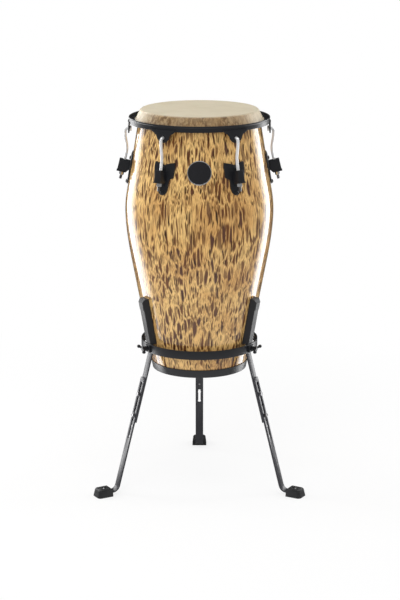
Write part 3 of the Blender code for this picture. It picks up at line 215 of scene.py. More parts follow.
def hangLamps():
    for name, lamp in lamps.items():
        data = bpy.data.lights.new(name, "AREA")
        data.shape = "RECTANGLE"
        data.size, data.size_y = lamp["size"]
        data.energy = lamp["watts"]
        light = bpy.data.objects.new(name, data)
        light.location = Vector(lamp["at"]) + drumAxis
        aim = Vector(lamp["aim"]) + drumAxis - light.location
        lean = Matrix.Rotation(lamp.get("roll", 0.0), 3, "Z")
        light.rotation_euler = (aim.to_track_quat("-Z", "Y").to_matrix() @ lean).to_euler()
        light.visible_glossy, light.visible_diffuse, light.visible_camera = lamp["gloss"], lamp["diffuse"], False
        if "fade" in lamp:
            data.use_nodes = True
            tree = data.node_tree
            across = addNode(tree, "ShaderNodeNewGeometry").outputs["Parametric"]
            split = addNode(tree, "ShaderNodeSeparateXYZ", {0: across})
            strength = rangeNode(tree, split.outputs["X"], *lamp["fade"])
            tree.links.new(strength, tree.nodes["Emission"].inputs["Strength"])
        bpy.context.scene.collection.objects.link(light)


# Making meshes
meshing = {"weld": 0.000001, "cutWeld": 0.000002, "slice": 0.00001, "roundShare": 0.46, "rodSides": 4}


def linked(bm, name):
    mesh = bpy.data.meshes.new(name)
    bm.to_mesh(mesh)
    bm.free()
    obj = bpy.data.objects.new(name, mesh)
    bpy.context.scene.collection.objects.link(obj)
    return obj


def afterModifiers(obj):
    bpy.context.view_layer.update()
    graph = bpy.context.evaluated_depsgraph_get()
    mesh = bpy.data.meshes.new_from_object(obj.evaluated_get(graph))
    bm = bmesh.new()
    bm.from_mesh(mesh)
    bpy.data.meshes.remove(mesh)
    bpy.data.objects.remove(obj, do_unlink=True)
    return bm


def combined(first, second, operation="UNION"):
    base, other = linked(first, "base"), linked(second, "other")
    step = base.modifiers.new("combine", "BOOLEAN")
    step.operation = operation
    step.object = other
    step.solver = "EXACT"
    result = afterModifiers(base)
    bpy.data.objects.remove(other, do_unlink=True)
    bmesh.ops.remove_doubles(result, verts=result.verts, dist=meshing["cutWeld"])
    bmesh.ops.dissolve_degenerate(result, edges=result.edges, dist=meshing["cutWeld"])
    return result


def cut(bm, tool):
    return combined(bm, tool, "DIFFERENCE")


def moved(bm, matrix):
    bmesh.ops.transform(bm, matrix=matrix, verts=bm.verts)
    return bm


def joined(parts):
    whole = bmesh.new()
    for part in parts:
        mesh = bpy.data.meshes.new("part")
        part.to_mesh(mesh)
        part.free()
        whole.from_mesh(mesh)
        bpy.data.meshes.remove(mesh)
    return whole


def around(bm, turns):
    copies = [moved(bm.copy(), Matrix.Rotation(turn, 4, "Z")) for turn in turns]
    bm.free()
    return joined(copies)


def softened(corners, steps=4, closed=True):
    # A path of (x, y, ..., radius) corners with each corner drawn round
    spots = [Vector(corner[:-1]) for corner in corners]
    path = []
    for i, corner in enumerate(corners):
        here, radius = spots[i], corner[-1]
        if radius <= 0.0 or (not closed and i in (0, len(corners) - 1)):
            path.append(here)
            continue
        back, forth = spots[i - 1] - here, spots[(i + 1) % len(spots)] - here
        room = meshing["roundShare"] * min(back.length, forth.length)
        reach = min(radius / math.tan(back.angle(forth) / 2), room)
        start, end = here + back.normalized() * reach, here + forth.normalized() * reach
        for k in range(steps + 1):
            t = k / steps
            path.append(start * (1 - t) ** 2 + here * (2 * t * (1 - t)) + end * t ** 2)
    return path


def spun(profile, steps, closed=True):
    # The profile is (radius, height) points, turned round the Z axis
    bm = bmesh.new()
    verts = [bm.verts.new((point[0], 0.0, point[1])) for point in profile]
    pairs = list(zip(verts, verts[1:])) + ([(verts[-1], verts[0])] if closed else [])
    edges = [bm.edges.new(pair) for pair in pairs]
    bmesh.ops.spin(bm, geom=verts + edges, cent=(0, 0, 0), axis=(0, 0, 1), angle=math.tau,
                   steps=steps, use_merge=True, use_duplicate=False)
    bmesh.ops.remove_doubles(bm, verts=bm.verts, dist=meshing["weld"])
    bmesh.ops.recalc_face_normals(bm, faces=bm.faces)
    return bm


def turned(corners, steps):
    # A solid piece on the Z axis, from its rounded corners
    return spun(softened(corners, closed=False), steps, closed=False)


def drawnOut(outline, vector):
    # A flat outline of 3D points, drawn out along the vector into a closed block
    bm = bmesh.new()
    face = bm.faces.new([bm.verts.new(point) for point in outline])
    drawn = bmesh.ops.extrude_face_region(bm, geom=[face])
    ends = [item for item in drawn["geom"] if isinstance(item, bmesh.types.BMVert)]
    bmesh.ops.translate(bm, verts=ends, vec=vector)
    bmesh.ops.recalc_face_normals(bm, faces=bm.faces)
    return bm


def bevelled(bm, width, segments=2, angle=30.0, test=None):
    limit = math.radians(angle)
    edges = [edge for edge in bm.edges if len(edge.link_faces) == 2
             and edge.calc_face_angle(0.0) > limit and (test is None or test(edge))]
    bmesh.ops.bevel(bm, geom=edges, offset=width, offset_type="OFFSET", segments=segments,
                    affect="EDGES", profile=0.5, material=-1, clamp_overlap=True)
    return bm


def allPast(axis, limit):
    # For edges that lie wholly past a limit along an axis
    return lambda edge: all(vert.co[axis] > limit for vert in edge.verts)


def rodAlong(path, radius):
    curve = bpy.data.curves.new("rod", "CURVE")
    curve.dimensions = "3D"
    curve.bevel_depth = radius
    curve.bevel_resolution = meshing["rodSides"]
    curve.use_fill_caps = True
    spline = curve.splines.new("POLY")
    spline.points.add(len(path) - 1)
    for point, spot in zip(spline.points, path):
        point.co = (spot[0], spot[1], spot[2], 1.0)
    holder = bpy.data.objects.new("rod", curve)
    bpy.context.scene.collection.objects.link(holder)
    bm = afterModifiers(holder)
    bpy.data.curves.remove(curve)
    bmesh.ops.remove_doubles(bm, verts=bm.verts, dist=meshing["weld"])
    bmesh.ops.recalc_face_normals(bm, faces=bm.faces)
    return bm


def cylinder(start, end, radius, sides=32, endRadius=None):
    start, end = Vector(start), Vector(end)
    bm = bmesh.new()
    turn = (end - start).to_track_quat("Z", "Y").to_matrix().to_4x4()
    bmesh.ops.create_cone(bm, cap_ends=True, segments=sides, radius1=radius,
                          radius2=radius if endRadius is None else endRadius,
                          depth=(end - start).length, matrix=Matrix.Translation((start + end) / 2) @ turn)
    return bm


def box(size, middle=(0.0, 0.0, 0.0)):
    bm = bmesh.new()
    bmesh.ops.create_cube(bm, size=1.0)
    bmesh.ops.scale(bm, vec=size, verts=bm.verts)
    bmesh.ops.translate(bm, vec=middle, verts=bm.verts)
    return bm


def secondFinish(bm, plain):
    # The faces after the first ones take the piece's second finish
    bm.faces.index_update()
    for face in bm.faces:
        face.material_index = 1 if face.index >= plain else 0


def piece(name, bm, coats, stands, slot, turn=0.0, sharp=32.0, faceFinish=None):
    # Sets a mesh made round the drum's axis in its place, with its finishes, body and CAD node
    moved(bm, Matrix.Translation(drumAxis) @ Matrix.Rotation(turn, 4, "Z"))
    bmesh.ops.triangulate(bm, faces=[face for face in bm.faces if len(face.verts) > 4])
    if faceFinish:
        for face in bm.faces:
            face.material_index = faceFinish(face.calc_center_median() - drumAxis)
    obj = linked(bm, name)
    for coat in coats:
        obj.data.materials.append(finishes[coat])
    obj.data.shade_smooth()
    obj.data.set_sharp_from_angle(angle=math.radians(sharp))
    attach(obj, frame["nodes"][stands[0]]["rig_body"])
    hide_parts(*stands)


def copies(turns, *kinds):
    # One numbered piece of each kind at every turn
    # A kind is a name, mesh, finishes, CAD node and slot, and perhaps the angle from which its edges are sharp
    for i, turn in enumerate(turns, start=1):
        for name, bm, coats, node, slot, *sharp in kinds:
            piece(f"{name}{i}", bm.copy(), coats, [f"{node}_{i}"], slot, turn, *sharp)


# Finishes: effects that several finishes share are node groups
effects = {
    "fleckCore": (0.03, 0.24), "fineDetail": 3.0, "broad": (9.0, 4.0), "broadRange": (0.3, 0.7),
    "streakDetail": 5.0, "streakRough": 0.62,
}


def newGroup(name, vectors, numbers, results):
    group = bpy.data.node_groups.new(name, "ShaderNodeTree")
    for labels, direction, kind in ((vectors, "INPUT", "NodeSocketVector"), (numbers, "INPUT", "NodeSocketFloat"),
                                    (results, "OUTPUT", "NodeSocketFloat")):
        for label in labels:
            group.interface.new_socket(name=label, in_out=direction, socket_type=kind)
    given = group.nodes.new("NodeGroupInput").outputs
    return group, given, group.nodes.new("NodeGroupOutput").inputs


def makeFleckGroup():
    # Spindle-shaped cells, of which a share is dark
    group, given, result = newGroup("spindleFlecks", ["Vector"], ["Scale", "Low", "High"], ["Mask", "Shade"])
    where = {"Vector": given["Vector"], "Scale": given["Scale"], "Randomness": 1.0}
    cells = addNode(group, "ShaderNodeTexVoronoi", where, feature="F1")
    edges = addNode(group, "ShaderNodeTexVoronoi", where, feature="DISTANCE_TO_EDGE")
    split = addNode(group, "ShaderNodeSeparateColor", {0: cells.outputs["Color"]})
    core = rangeNode(group, edges.outputs["Distance"], *effects["fleckCore"])
    share = rangeNode(group, split.outputs[0], given["Low"], given["High"])
    group.links.new(times(group, core, share), result["Mask"])
    group.links.new(split.outputs[1], result["Shade"])
    return group


def makeGrainGroup():
    # A fine uneven surface: a height for the bump and a value that varies the roughness
    group, given, result = newGroup("fineGrain", ["Vector"], ["Scale", "Rough Low", "Rough High"],
                                    ["Height", "Roughness"])
    fine = noiseNode(group, given["Vector"], given["Scale"], effects["fineDetail"])
    broad = noiseNode(group, given["Vector"], *effects["broad"])
    low, high = effects["broadRange"]
    rough = addNode(group, "ShaderNodeMapRange",
                    {0: broad[0], 1: low, 2: high, 3: given["Rough Low"], 4: given["Rough High"]})
    group.links.new(fine[0], result["Height"])
    group.links.new(rough.outputs[0], result["Roughness"])
    return group


def makeStreakGroup():
    # Streaks that run up the drum, from points measured from its axis
    group, given, result = newGroup("uprightStreaks", ["Vector", "Stretch"], ["Scale"], ["Value"])
    stretched = vectorNode(group, "MULTIPLY", given["Vector"], given["Stretch"])[0]
    noise = noiseNode(group, stretched, given["Scale"], effects["streakDetail"], effects["streakRough"])
    group.links.new(noise[0], result["Value"])
    return group


fleckGroup, grainGroup, streakGroup = makeFleckGroup(), makeGrainGroup(), makeStreakGroup()


def useGroup(tree, group, place, settings):
    node = tree.nodes.new("ShaderNodeGroup")
    node.node_tree = group
    feed(tree, node, {"Vector": place, **settings})
    return node.outputs


def newFinish(name, **fixed):
    material = bpy.data.materials.new(name)
    material.use_nodes = True
    tree = material.node_tree
    shader = tree.nodes["Principled BSDF"]
    for label, value in fixed.items():
        shader.inputs[label.replace("_", " ")].default_value = value
    place = addNode(tree, "ShaderNodeTexCoord").outputs["Object"]
    return material, tree, shader, vectorNode(tree, "SUBTRACT", place, tuple(drumAxis))[0]


def addBump(tree, shader, height, strength, distance):
    bump = addNode(tree, "ShaderNodeBump", {"Height": height, "Strength": strength, "Distance": distance})
    tree.links.new(bump.outputs[0], shader.inputs["Normal"])


def grainOn(tree, shader, place, scale, rough, strength, distance):
    grain = useGroup(tree, grainGroup, place, {"Scale": scale, "Rough Low": rough[0], "Rough High": rough[1]})
    tree.links.new(grain["Roughness"], shader.inputs["Roughness"])
    addBump(tree, shader, grain["Height"], strength, distance)


lacquer = {
    "gold": (0.780, 0.505, 0.190, 1.0), "tan": (0.610, 0.345, 0.115, 1.0), "brown": (0.130, 0.048, 0.014, 1.0),
    "violet": (0.080, 0.035, 0.022, 1.0), "dark": (0.015, 0.005, 0.002, 1.0),
    "coat": {"Coat_Weight": 1.0, "Coat_Roughness": 0.03, "Coat_IOR": 1.52, "IOR": 1.12},
    "sway": (14.0, 1.0), "warp": (0.008, 0.008, 0.030), "stretch": (1.0, 1.0, 0.145),
    "large": {"Scale": 108.0, "Low": 0.08, "High": 0.72},
    "small": {"Scale": 200.0, "Low": 0.30, "High": 0.78}, "smallShare": 0.92,
    "streaks": {"Scale": 60.0, "Stretch": (7.0, 7.0, 0.35)}, "streakRange": (0.44, 0.66), "streakShare": 0.65,
    "cloud": (9.0, 3.0), "cloudRange": (0.40, 0.68),
    "pores": {"Scale": 700.0, "Rough Low": 0.30, "Rough High": 0.42}, "wave": (22.0, 1.0), "bump": (0.10, 0.0010),
}


def makeLacquer():
    # Gold under a clear coat, with brown streaks and two sizes of dark spindle-shaped flecks
    material, tree, shader, place = newFinish("shellLacquer", **lacquer["coat"])
    sway = vectorNode(tree, "SUBTRACT", noiseNode(tree, place, *lacquer["sway"])["Color"], (0.5, 0.5, 0.5))[0]
    warped = vectorNode(tree, "ADD", place, vectorNode(tree, "MULTIPLY", sway, lacquer["warp"])[0])[0]
    upright = vectorNode(tree, "MULTIPLY", warped, lacquer["stretch"])[0]
    large = useGroup(tree, fleckGroup, upright, lacquer["large"])
    small = useGroup(tree, fleckGroup, upright, lacquer["small"])
    streaks = useGroup(tree, streakGroup, warped, lacquer["streaks"])["Value"]
    cloud = rangeNode(tree, noiseNode(tree, place, *lacquer["cloud"])[0], *lacquer["cloudRange"])
    ground = mixColours(tree, cloud, lacquer["gold"], lacquer["tan"])
    streaked = rangeNode(tree, streaks, *lacquer["streakRange"], 0.0, lacquer["streakShare"])
    ground = mixColours(tree, streaked, ground, lacquer["brown"])
    hue = mixColours(tree, large["Shade"], lacquer["brown"], lacquer["violet"])
    marked = mixColours(tree, large["Mask"], ground, hue)
    darker = mixColours(tree, small["Shade"], lacquer["brown"], lacquer["dark"])
    marked = mixColours(tree, times(tree, small["Mask"], lacquer["smallShare"]), marked, darker)
    tree.links.new(marked, shader.inputs["Base Color"])
    pores = useGroup(tree, grainGroup, place, lacquer["pores"])
    tree.links.new(pores["Roughness"], shader.inputs["Roughness"])
    addBump(tree, shader, noiseNode(tree, place, *lacquer["wave"])[0], *lacquer["bump"])
    return material


rawWood = {
    "pale": (0.55, 0.37, 0.20, 1.0), "late": (0.33, 0.19, 0.09, 1.0), "glue": (0.10, 0.05, 0.02, 1.0),
    "staves": 20, "seam": (0.485, 0.5), "seamShare": 0.75, "staveShare": 0.25,
    "streaks": {"Scale": 40.0, "Stretch": (6.0, 6.0, 0.25)}, "streakRange": (0.35, 0.7), "streakShare": 0.7,
    "rough": 0.72, "bump": (0.35, 0.0006),
}


def makeRawWood():
    # The unlacquered inside, with the seams between its staves
    material, tree, shader, place = newFinish("rawWood", IOR=1.4, Roughness=rawWood["rough"])
    split = addNode(tree, "ShaderNodeSeparateXYZ", {0: place})
    angle = mathNode(tree, "ARCTAN2", split.outputs["Y"], split.outputs["X"])
    staves = times(tree, angle, rawWood["staves"] / math.tau)
    across = mathNode(tree, "ABSOLUTE", mathNode(tree, "SUBTRACT", mathNode(tree, "FRACT", staves), 0.5))
    tone = addNode(tree, "ShaderNodeTexWhiteNoise", {"W": mathNode(tree, "FLOOR", staves)}, noise_dimensions="1D")
    streaks = useGroup(tree, streakGroup, place, rawWood["streaks"])["Value"]
    blend = mathNode(tree, "ADD", rangeNode(tree, streaks, *rawWood["streakRange"], 0.0, rawWood["streakShare"]),
                     times(tree, tone.outputs["Value"], rawWood["staveShare"]))
    wood = mixColours(tree, blend, rawWood["pale"], rawWood["late"])
    seam = times(tree, rangeNode(tree, across, *rawWood["seam"]), rawWood["seamShare"])
    tree.links.new(mixColours(tree, seam, wood, rawWood["glue"]), shader.inputs["Base Color"])
    addBump(tree, shader, streaks, *rawWood["bump"])
    return material


hide = {
    "cream": (0.680, 0.600, 0.440, 1.0), "pale": (0.730, 0.650, 0.490, 1.0), "gold": (0.305, 0.190, 0.078, 1.0),
    "brown": (0.085, 0.040, 0.016, 1.0), "edge": (0.1520, 0.1600),
    "cloud": (16.0, 5.0, 0.6), "topRange": (0.35, 0.68), "sideRange": (0.3, 0.7), "sideShare": 0.25,
    "fibre": (260.0, 4.0, 0.7), "fibreRange": (0.55, 0.75), "fibreShare": 0.12,
    "streaks": {"Scale": 34.0, "Stretch": (5.5, 5.5, 0.5)}, "streakRange": (0.40, 0.58), "streakShare": 0.85,
    "patch": (21.0, 2.0), "patchRange": (0.35, 0.62), "patchLeast": 0.45,
    # back and the share after it: the Y range and strength of the painted highlight on the collar's sides and back
    "front": (-0.160, -0.01), "frontLeast": 0.10, "back": (-0.14, -0.03), "paleSidePaintedHighlight": 0.78,
    "rough": 0.46, "bump": (0.22, 0.0005),
    "under": {"IOR": 1.42, "Subsurface_Weight": 0.08, "Subsurface_Radius": (0.004, 0.002, 0.001),
              "Subsurface_Scale": 0.5},
}


def makeHide():
    # Natural skin: pale and mottled on top, golden with brown streaks down the collar's front, and a painted
    # highlight that makes the collar paler towards its sides and back
    material, tree, shader, place = newFinish("drumHide", Roughness=hide["rough"], **hide["under"])
    split = addNode(tree, "ShaderNodeSeparateXYZ", {0: place}).outputs
    flat = addNode(tree, "ShaderNodeCombineXYZ", {0: split["X"], 1: split["Y"], 2: 0.0}).outputs[0]
    collar = rangeNode(tree, vectorNode(tree, "LENGTH", flat)["Value"], *hide["edge"])
    cloud = noiseNode(tree, place, *hide["cloud"])[0]
    fibre = noiseNode(tree, place, *hide["fibre"])[0]
    top = mixColours(tree, rangeNode(tree, cloud, *hide["topRange"]), hide["pale"], hide["cream"])
    top = mixColours(tree, rangeNode(tree, fibre, *hide["fibreRange"], 0.0, hide["fibreShare"]), top, hide["gold"])
    streaks = useGroup(tree, streakGroup, place, hide["streaks"])["Value"]
    patch = rangeNode(tree, noiseNode(tree, place, *hide["patch"])[0], *hide["patchRange"], hide["patchLeast"], 1.0)
    front = times(tree, rangeNode(tree, split["Y"], *hide["front"], 1.0, hide["frontLeast"]), patch)
    stain = times(tree, rangeNode(tree, streaks, *hide["streakRange"]), front)
    mottled = rangeNode(tree, cloud, *hide["sideRange"], 0.0, hide["sideShare"])
    side = mixColours(tree, mottled, hide["gold"], hide["cream"])
    # Painted highlight: the collar turns pale towards its sides and back, where the side lamps fall on it
    side = mixColours(tree, rangeNode(tree, split["Y"], *hide["back"], 0.0, hide["paleSidePaintedHighlight"]), side, hide["pale"])
    side = mixColours(tree, times(tree, stain, hide["streakShare"]), side, hide["brown"])
    tree.links.new(mixColours(tree, collar, top, side), shader.inputs["Base Color"])
    addBump(tree, shader, mathNode(tree, "ADD", fibre, times(tree, streaks, collar)), *hide["bump"])
    return material


blackCoat = {"worn": (0.026, 0.027, 0.030, 1.0), "cloud": (55.0, 6.0, 0.7), "scuffs": (0.60, 0.78), "scuffShare": 0.4,
             "bumpDepth": 0.0002}


def makeBlackCoat(name, paint, rough, scale, strength):
    material, tree, shader, place = newFinish(name, IOR=1.45)
    grainOn(tree, shader, place, scale, rough, strength, blackCoat["bumpDepth"])
    cloud = noiseNode(tree, place, *blackCoat["cloud"])[0]
    scuffs = rangeNode(tree, cloud, *blackCoat["scuffs"], 0.0, blackCoat["scuffShare"])
    tree.links.new(mixColours(tree, scuffs, paint, blackCoat["worn"]), shader.inputs["Base Color"])
    return material


bareMetal = {"cloud": (40.0, 4.0), "cloudRange": (0.4, 0.7), "duller": 0.82, "bumpDepth": 0.0001}


def makeMetal(name, colour, rough, scale, strength, stain=None, metal=1.0):
    material, tree, shader, place = newFinish(name, Metallic=metal)
    grainOn(tree, shader, place, scale, rough, strength, bareMetal["bumpDepth"])
    cloud = rangeNode(tree, noiseNode(tree, place, *bareMetal["cloud"])[0], *bareMetal["cloudRange"])
    stain = stain or tuple(bareMetal["duller"] * channel for channel in colour[:3]) + (1.0,)
    tree.links.new(mixColours(tree, cloud, colour, stain), shader.inputs["Base Color"])
    return material


# Each finish: its colour, least and greatest roughness, the scale of its grain and how deep that looks
finishes = {
    "lacquer": makeLacquer(),
    "rawWood": makeRawWood(),
    "hide": makeHide(),
    "black": makeBlackCoat("blackCoat", (0.0105, 0.0112, 0.0135, 1.0), (0.32, 0.42), 900.0, 0.10),
    "satin": makeBlackCoat("satinBlack", (0.0125, 0.0132, 0.0155, 1.0), (0.30, 0.40), 1400.0, 0.18),
    # The legs' black is lighter than the ring's and the rim's: a painted sheen standing in for the light reflected on
    # the rear leg
    "bar": makeBlackCoat("barBlackPaintedSheen", (0.0280, 0.0280, 0.0330, 1.0), (0.30, 0.40), 1400.0, 0.18),
    "rubber": makeBlackCoat("blackRubber", (0.0135, 0.0135, 0.0150, 1.0), (0.50, 0.62), 1100.0, 0.30),
    "chrome": makeMetal("chrome", (0.92, 0.93, 0.94, 1.0), (0.12, 0.20), 300.0, 0.03),
    # The hook finish is only half metal over a near-white colour: a painted sheen standing in for the front light's
    # reflection in the chrome
    "hookSteel": makeMetal("hookSteel", (0.98, 0.98, 0.98, 1.0), (0.24, 0.34), 300.0, 0.03, metal=0.55),
    "zinc": makeMetal("zinc", (0.62, 0.63, 0.65, 1.0), (0.24, 0.36), 800.0, 0.12, (0.50, 0.50, 0.49, 1.0)),
    "thread": makeMetal("threadSteel", (0.30, 0.30, 0.31, 1.0), (0.28, 0.42), 1500.0, 0.2,
                        (0.14, 0.13, 0.13, 1.0)),
    "badgeFace": makeBlackCoat("badgeEnamel", (0.012, 0.012, 0.014, 1.0), (0.14, 0.20), 300.0, 0.02),
}
print("stage: finishes")


# Shell
shell = {
    "base": 0.327, "length": 0.711, "wall": 0.011, "baseRadius": 0.1265, "cone": (0.270, 0.1778),
    "belly": (0.443, 0.2003), "shoulder": (0.540, 0.1870), "topRadius": 0.15875,
    "edgeInset": 0.0045, "edgeDrop": 0.009, "bandWall": 0.0020, "rows": 64, "steps": 160, "crown": (0.003, 0.004),
}
coneSlope = (shell["cone"][1] - shell["baseRadius"]) / shell["cone"][0]
shoulderSlope = (shell["topRadius"] - shell["shoulder"][1]) / (shell["length"] - shell["shoulder"][0])
drumTop = shell["base"] + shell["length"]


def easedRadius(height, start, startSlope, end, endSlope):
    # A smooth curve between two (height, radius) points, with the slopes given at both
    span = end[0] - start[0]
    t = (height - start[0]) / span
    blend = 3 * t ** 2 - 2 * t ** 3
    lift = startSlope * span * (t ** 3 - 2 * t ** 2 + t) + endSlope * span * (t ** 3 - t ** 2)
    return start[1] + (end[1] - start[1]) * blend + lift


def shellRadius(height):
    # Outer radius at a height above the shell's foot
    cone, belly, shoulder = shell["cone"], shell["belly"], shell["shoulder"]
    if height <= cone[0]:
        return shell["baseRadius"] + coneSlope * height
    if height <= belly[0]:
        return easedRadius(height, cone, coneSlope, belly, 0.0)
    if height <= shoulder[0]:
        return easedRadius(height, belly, 0.0, shoulder, shoulderSlope)
    return shoulder[1] + shoulderSlope * (height - shoulder[0])


def makeShell():
    foot = shell["bandWall"] + seatGap
    edge = shell["length"] - shell["edgeDrop"]
    heights = [foot + (edge - foot) * i / shell["rows"] for i in range(shell["rows"] + 1)]
    base, inset, drop = shell["base"], shell["edgeInset"], shell["edgeDrop"]
    peak = shell["topRadius"] - inset
    easy, top = shell["crown"]
    outside = [(shellRadius(h), base + h) for h in reversed(heights)]
    inside = [(shellRadius(h) - shell["wall"], base + h) for h in heights]
    crown = softened([
        (*inside[-1], 0.0), (peak - inset * 0.8, drumTop - drop * 0.22, easy), (peak, drumTop, top),
        (peak + inset * 0.75, drumTop - drop * 0.25, easy), (*outside[0], 0.0)], closed=False)[1:-1]
    bm = spun(outside + inside + [tuple(point) for point in crown], shell["steps"])

    def side(spot):
        middle = shellRadius(spot.z - base) - shell["wall"] / 2
        return 0 if spot.xy.length > middle and spot.z > base + foot * 1.01 else 1

    piece("drumShell", bm, ["lacquer", "rawWood"], ["shell"], "shell", faceFinish=side)


bottomBand = {"height": 0.0222, "wall": 0.0020, "lip": 0.0120, "edge": 0.0008}


def makeBottomBand():
    wall, edge, base = bottomBand["wall"], bottomBand["edge"], shell["base"]
    inner = shellRadius(bottomBand["height"]) + seatGap
    foot = shell["baseRadius"] + seatGap
    lip = shell["baseRadius"] - bottomBand["lip"]
    corners = [
        (inner + wall, base + bottomBand["height"], edge), (foot + wall, base + wall * 0.2, wall * 0.8),
        (foot + wall * 0.3, base, edge), (lip, base, edge), (lip, base + wall, edge),
        (foot + coneSlope * wall, base + wall, edge / 2), (inner, base + bottomBand["height"], edge)]
    piece("bottomBand", spun(softened(corners), shell["steps"]), ["satin"], ["bottom_ring"], "black_steel")


# Head and rim
rim = {
    "radius": 0.1883, "wall": 0.0028, "height": 0.0165, "drop": 0.0176, "bead": 0.0028,
    "flangeWidth": 0.0121, "flangeThick": 0.0024, "steps": 160,
    "earThick": 0.0030, "earHalfTop": 0.0370, "earHalfNeck": 0.0180, "earDepth": 0.0300, "earHole": 0.0050,
    "earEdge": 0.0008, "earStrip": 0.004, "holeRise": 0.0004, "holeEnds": (0.005, 0.008),
}
head = {
    "skin": 0.0020, "edgeRadius": 0.1595, "lapRadius": 0.1845, "hoopWidth": 0.0100, "hoopHeight": 0.0055,
    "hoopEdge": 0.0012, "hoopCrown": 0.0022, "rings": (6, 0.03), "swell": 0.00010,
    "waves": ((11.0, 0.6), (3.0, 1.1), 26.0),
}
rimTop = drumTop - rim["drop"]
rimFoot = rimTop - rim["height"]
hoopFoot = rimFoot + seatGap
hoopTop = hoopFoot + head["hoopHeight"]
lapTop = hoopTop + seatGap + head["skin"]


def makeHead():
    skin, edge, lap = head["skin"], head["edgeRadius"], head["lapRadius"]
    under = drumTop + seatGap
    top = under + skin
    foot = lap - skin - seatGap - head["hoopWidth"] - skin * 0.3
    rings, apart = head["rings"]
    outer = [(apart * i, top, 0.0) for i in range(rings)]
    outer += [
        (edge - skin * 1.9, top, 0.016), (edge + skin * 0.1, top - skin * 1.7, 0.010),
        (foot - skin * 0.6, lapTop + skin * 1.2, 0.004),
        (foot + skin * 0.5, lapTop, 0.003), (lap - skin * 0.6, lapTop, 0.001),
        (lap, lapTop - skin * 0.6, 0.001), (lap, hoopFoot, 0.0004), (lap - skin, hoopFoot, 0.0004),
        (lap - skin, hoopTop + seatGap, 0.0), (foot, hoopTop + seatGap, 0.0),
        (foot - skin * 1.6, lapTop + skin * 0.4, 0.002), (edge - skin * 0.75, top - skin * 2.2, 0.0),
        (edge - skin * 2.3, under, 0.0), (0.0, under, 0.0)]
    bm = turned(outer, rim["steps"])
    # The collar swells a little where the skin was pulled unevenly
    (fast, fastAt), (slow, slowAt), ripple = head["waves"]
    for vert in bm.verts:
        if edge - skin * 2 < vert.co.xy.length < foot and vert.normal.z > 0.02:
            angle = math.atan2(vert.co.y, vert.co.x)
            swell = math.sin(angle * fast + fastAt) * math.sin(angle * slow + slowAt) + math.sin(angle * ripple) / 2
            vert.co += Vector((vert.co.x, vert.co.y, 0.0)).normalized() * head["swell"] * swell
    piece("headSkin", bm, ["hide"], ["head_skin"], "skin")
    lapIn, ease = lap - skin - seatGap, head["hoopEdge"]
    hoopIn = lapIn - head["hoopWidth"]
    hoop = [(lapIn, hoopTop, ease), (lapIn, hoopFoot, ease), (hoopIn, hoopFoot, ease),
            (hoopIn, hoopTop, head["hoopCrown"])]
    piece("fleshHoop", spun(softened(hoop), rim["steps"]), ["zinc"], ["flesh_hoop"], "zinc")


def sliced(bm, places, normal):
    # Cuts a flat piece into strips, so that it can be bent
    for place in places:
        bmesh.ops.bisect_plane(bm, geom=bm.verts[:] + bm.edges[:] + bm.faces[:], dist=meshing["slice"],
                               plane_co=Vector(normal) * place, plane_no=normal)
    return bm


def strips(bm, step, reach):
    count = int(reach / step)
    return sliced(bm, [i * step for i in range(-count, count + 1)], (0.0, 1.0, 0.0))


def flatPlate(outline, thick, edge, step, rowStep=None):
    # A plate standing at x = 0, its outline in y and z, its outer edges eased, ready to bend
    bm = drawnOut([(0.0, point[0], point[1]) for point in outline], (thick, 0.0, 0.0))
    bevelled(bm, edge, 2, 20.0, allPast(0, thick * 0.9))
    strips(bm, step, max(abs(point[0]) for point in outline))
    if rowStep:
        low, high = min(p[1] for p in outline), max(p[1] for p in outline)
        sliced(bm, [low + i * rowStep for i in range(1, int((high - low) / rowStep) + 1)], (0.0, 0.0, 1.0))
    return bm


def bentRound(bm, radiusAt):
    # Bends a plate round the drum: its depth is added to the radius at its height
    for vert in bm.verts:
        depth, across, height = vert.co
        radius = radiusAt(height)
        angle = math.asin(across / radius)
        vert.co = Vector((math.cos(angle) * (radius + depth), math.sin(angle) * (radius + depth), height))
    bmesh.ops.recalc_face_normals(bm, faces=bm.faces)
    return bm


def mirroredHalf(half):
    # The whole outline from its right half, which starts and ends on the middle line
    return [tuple(p) for p in half] + [(-p[0],) + tuple(p[1:]) for p in reversed(half) if abs(p[0]) > 1e-6]


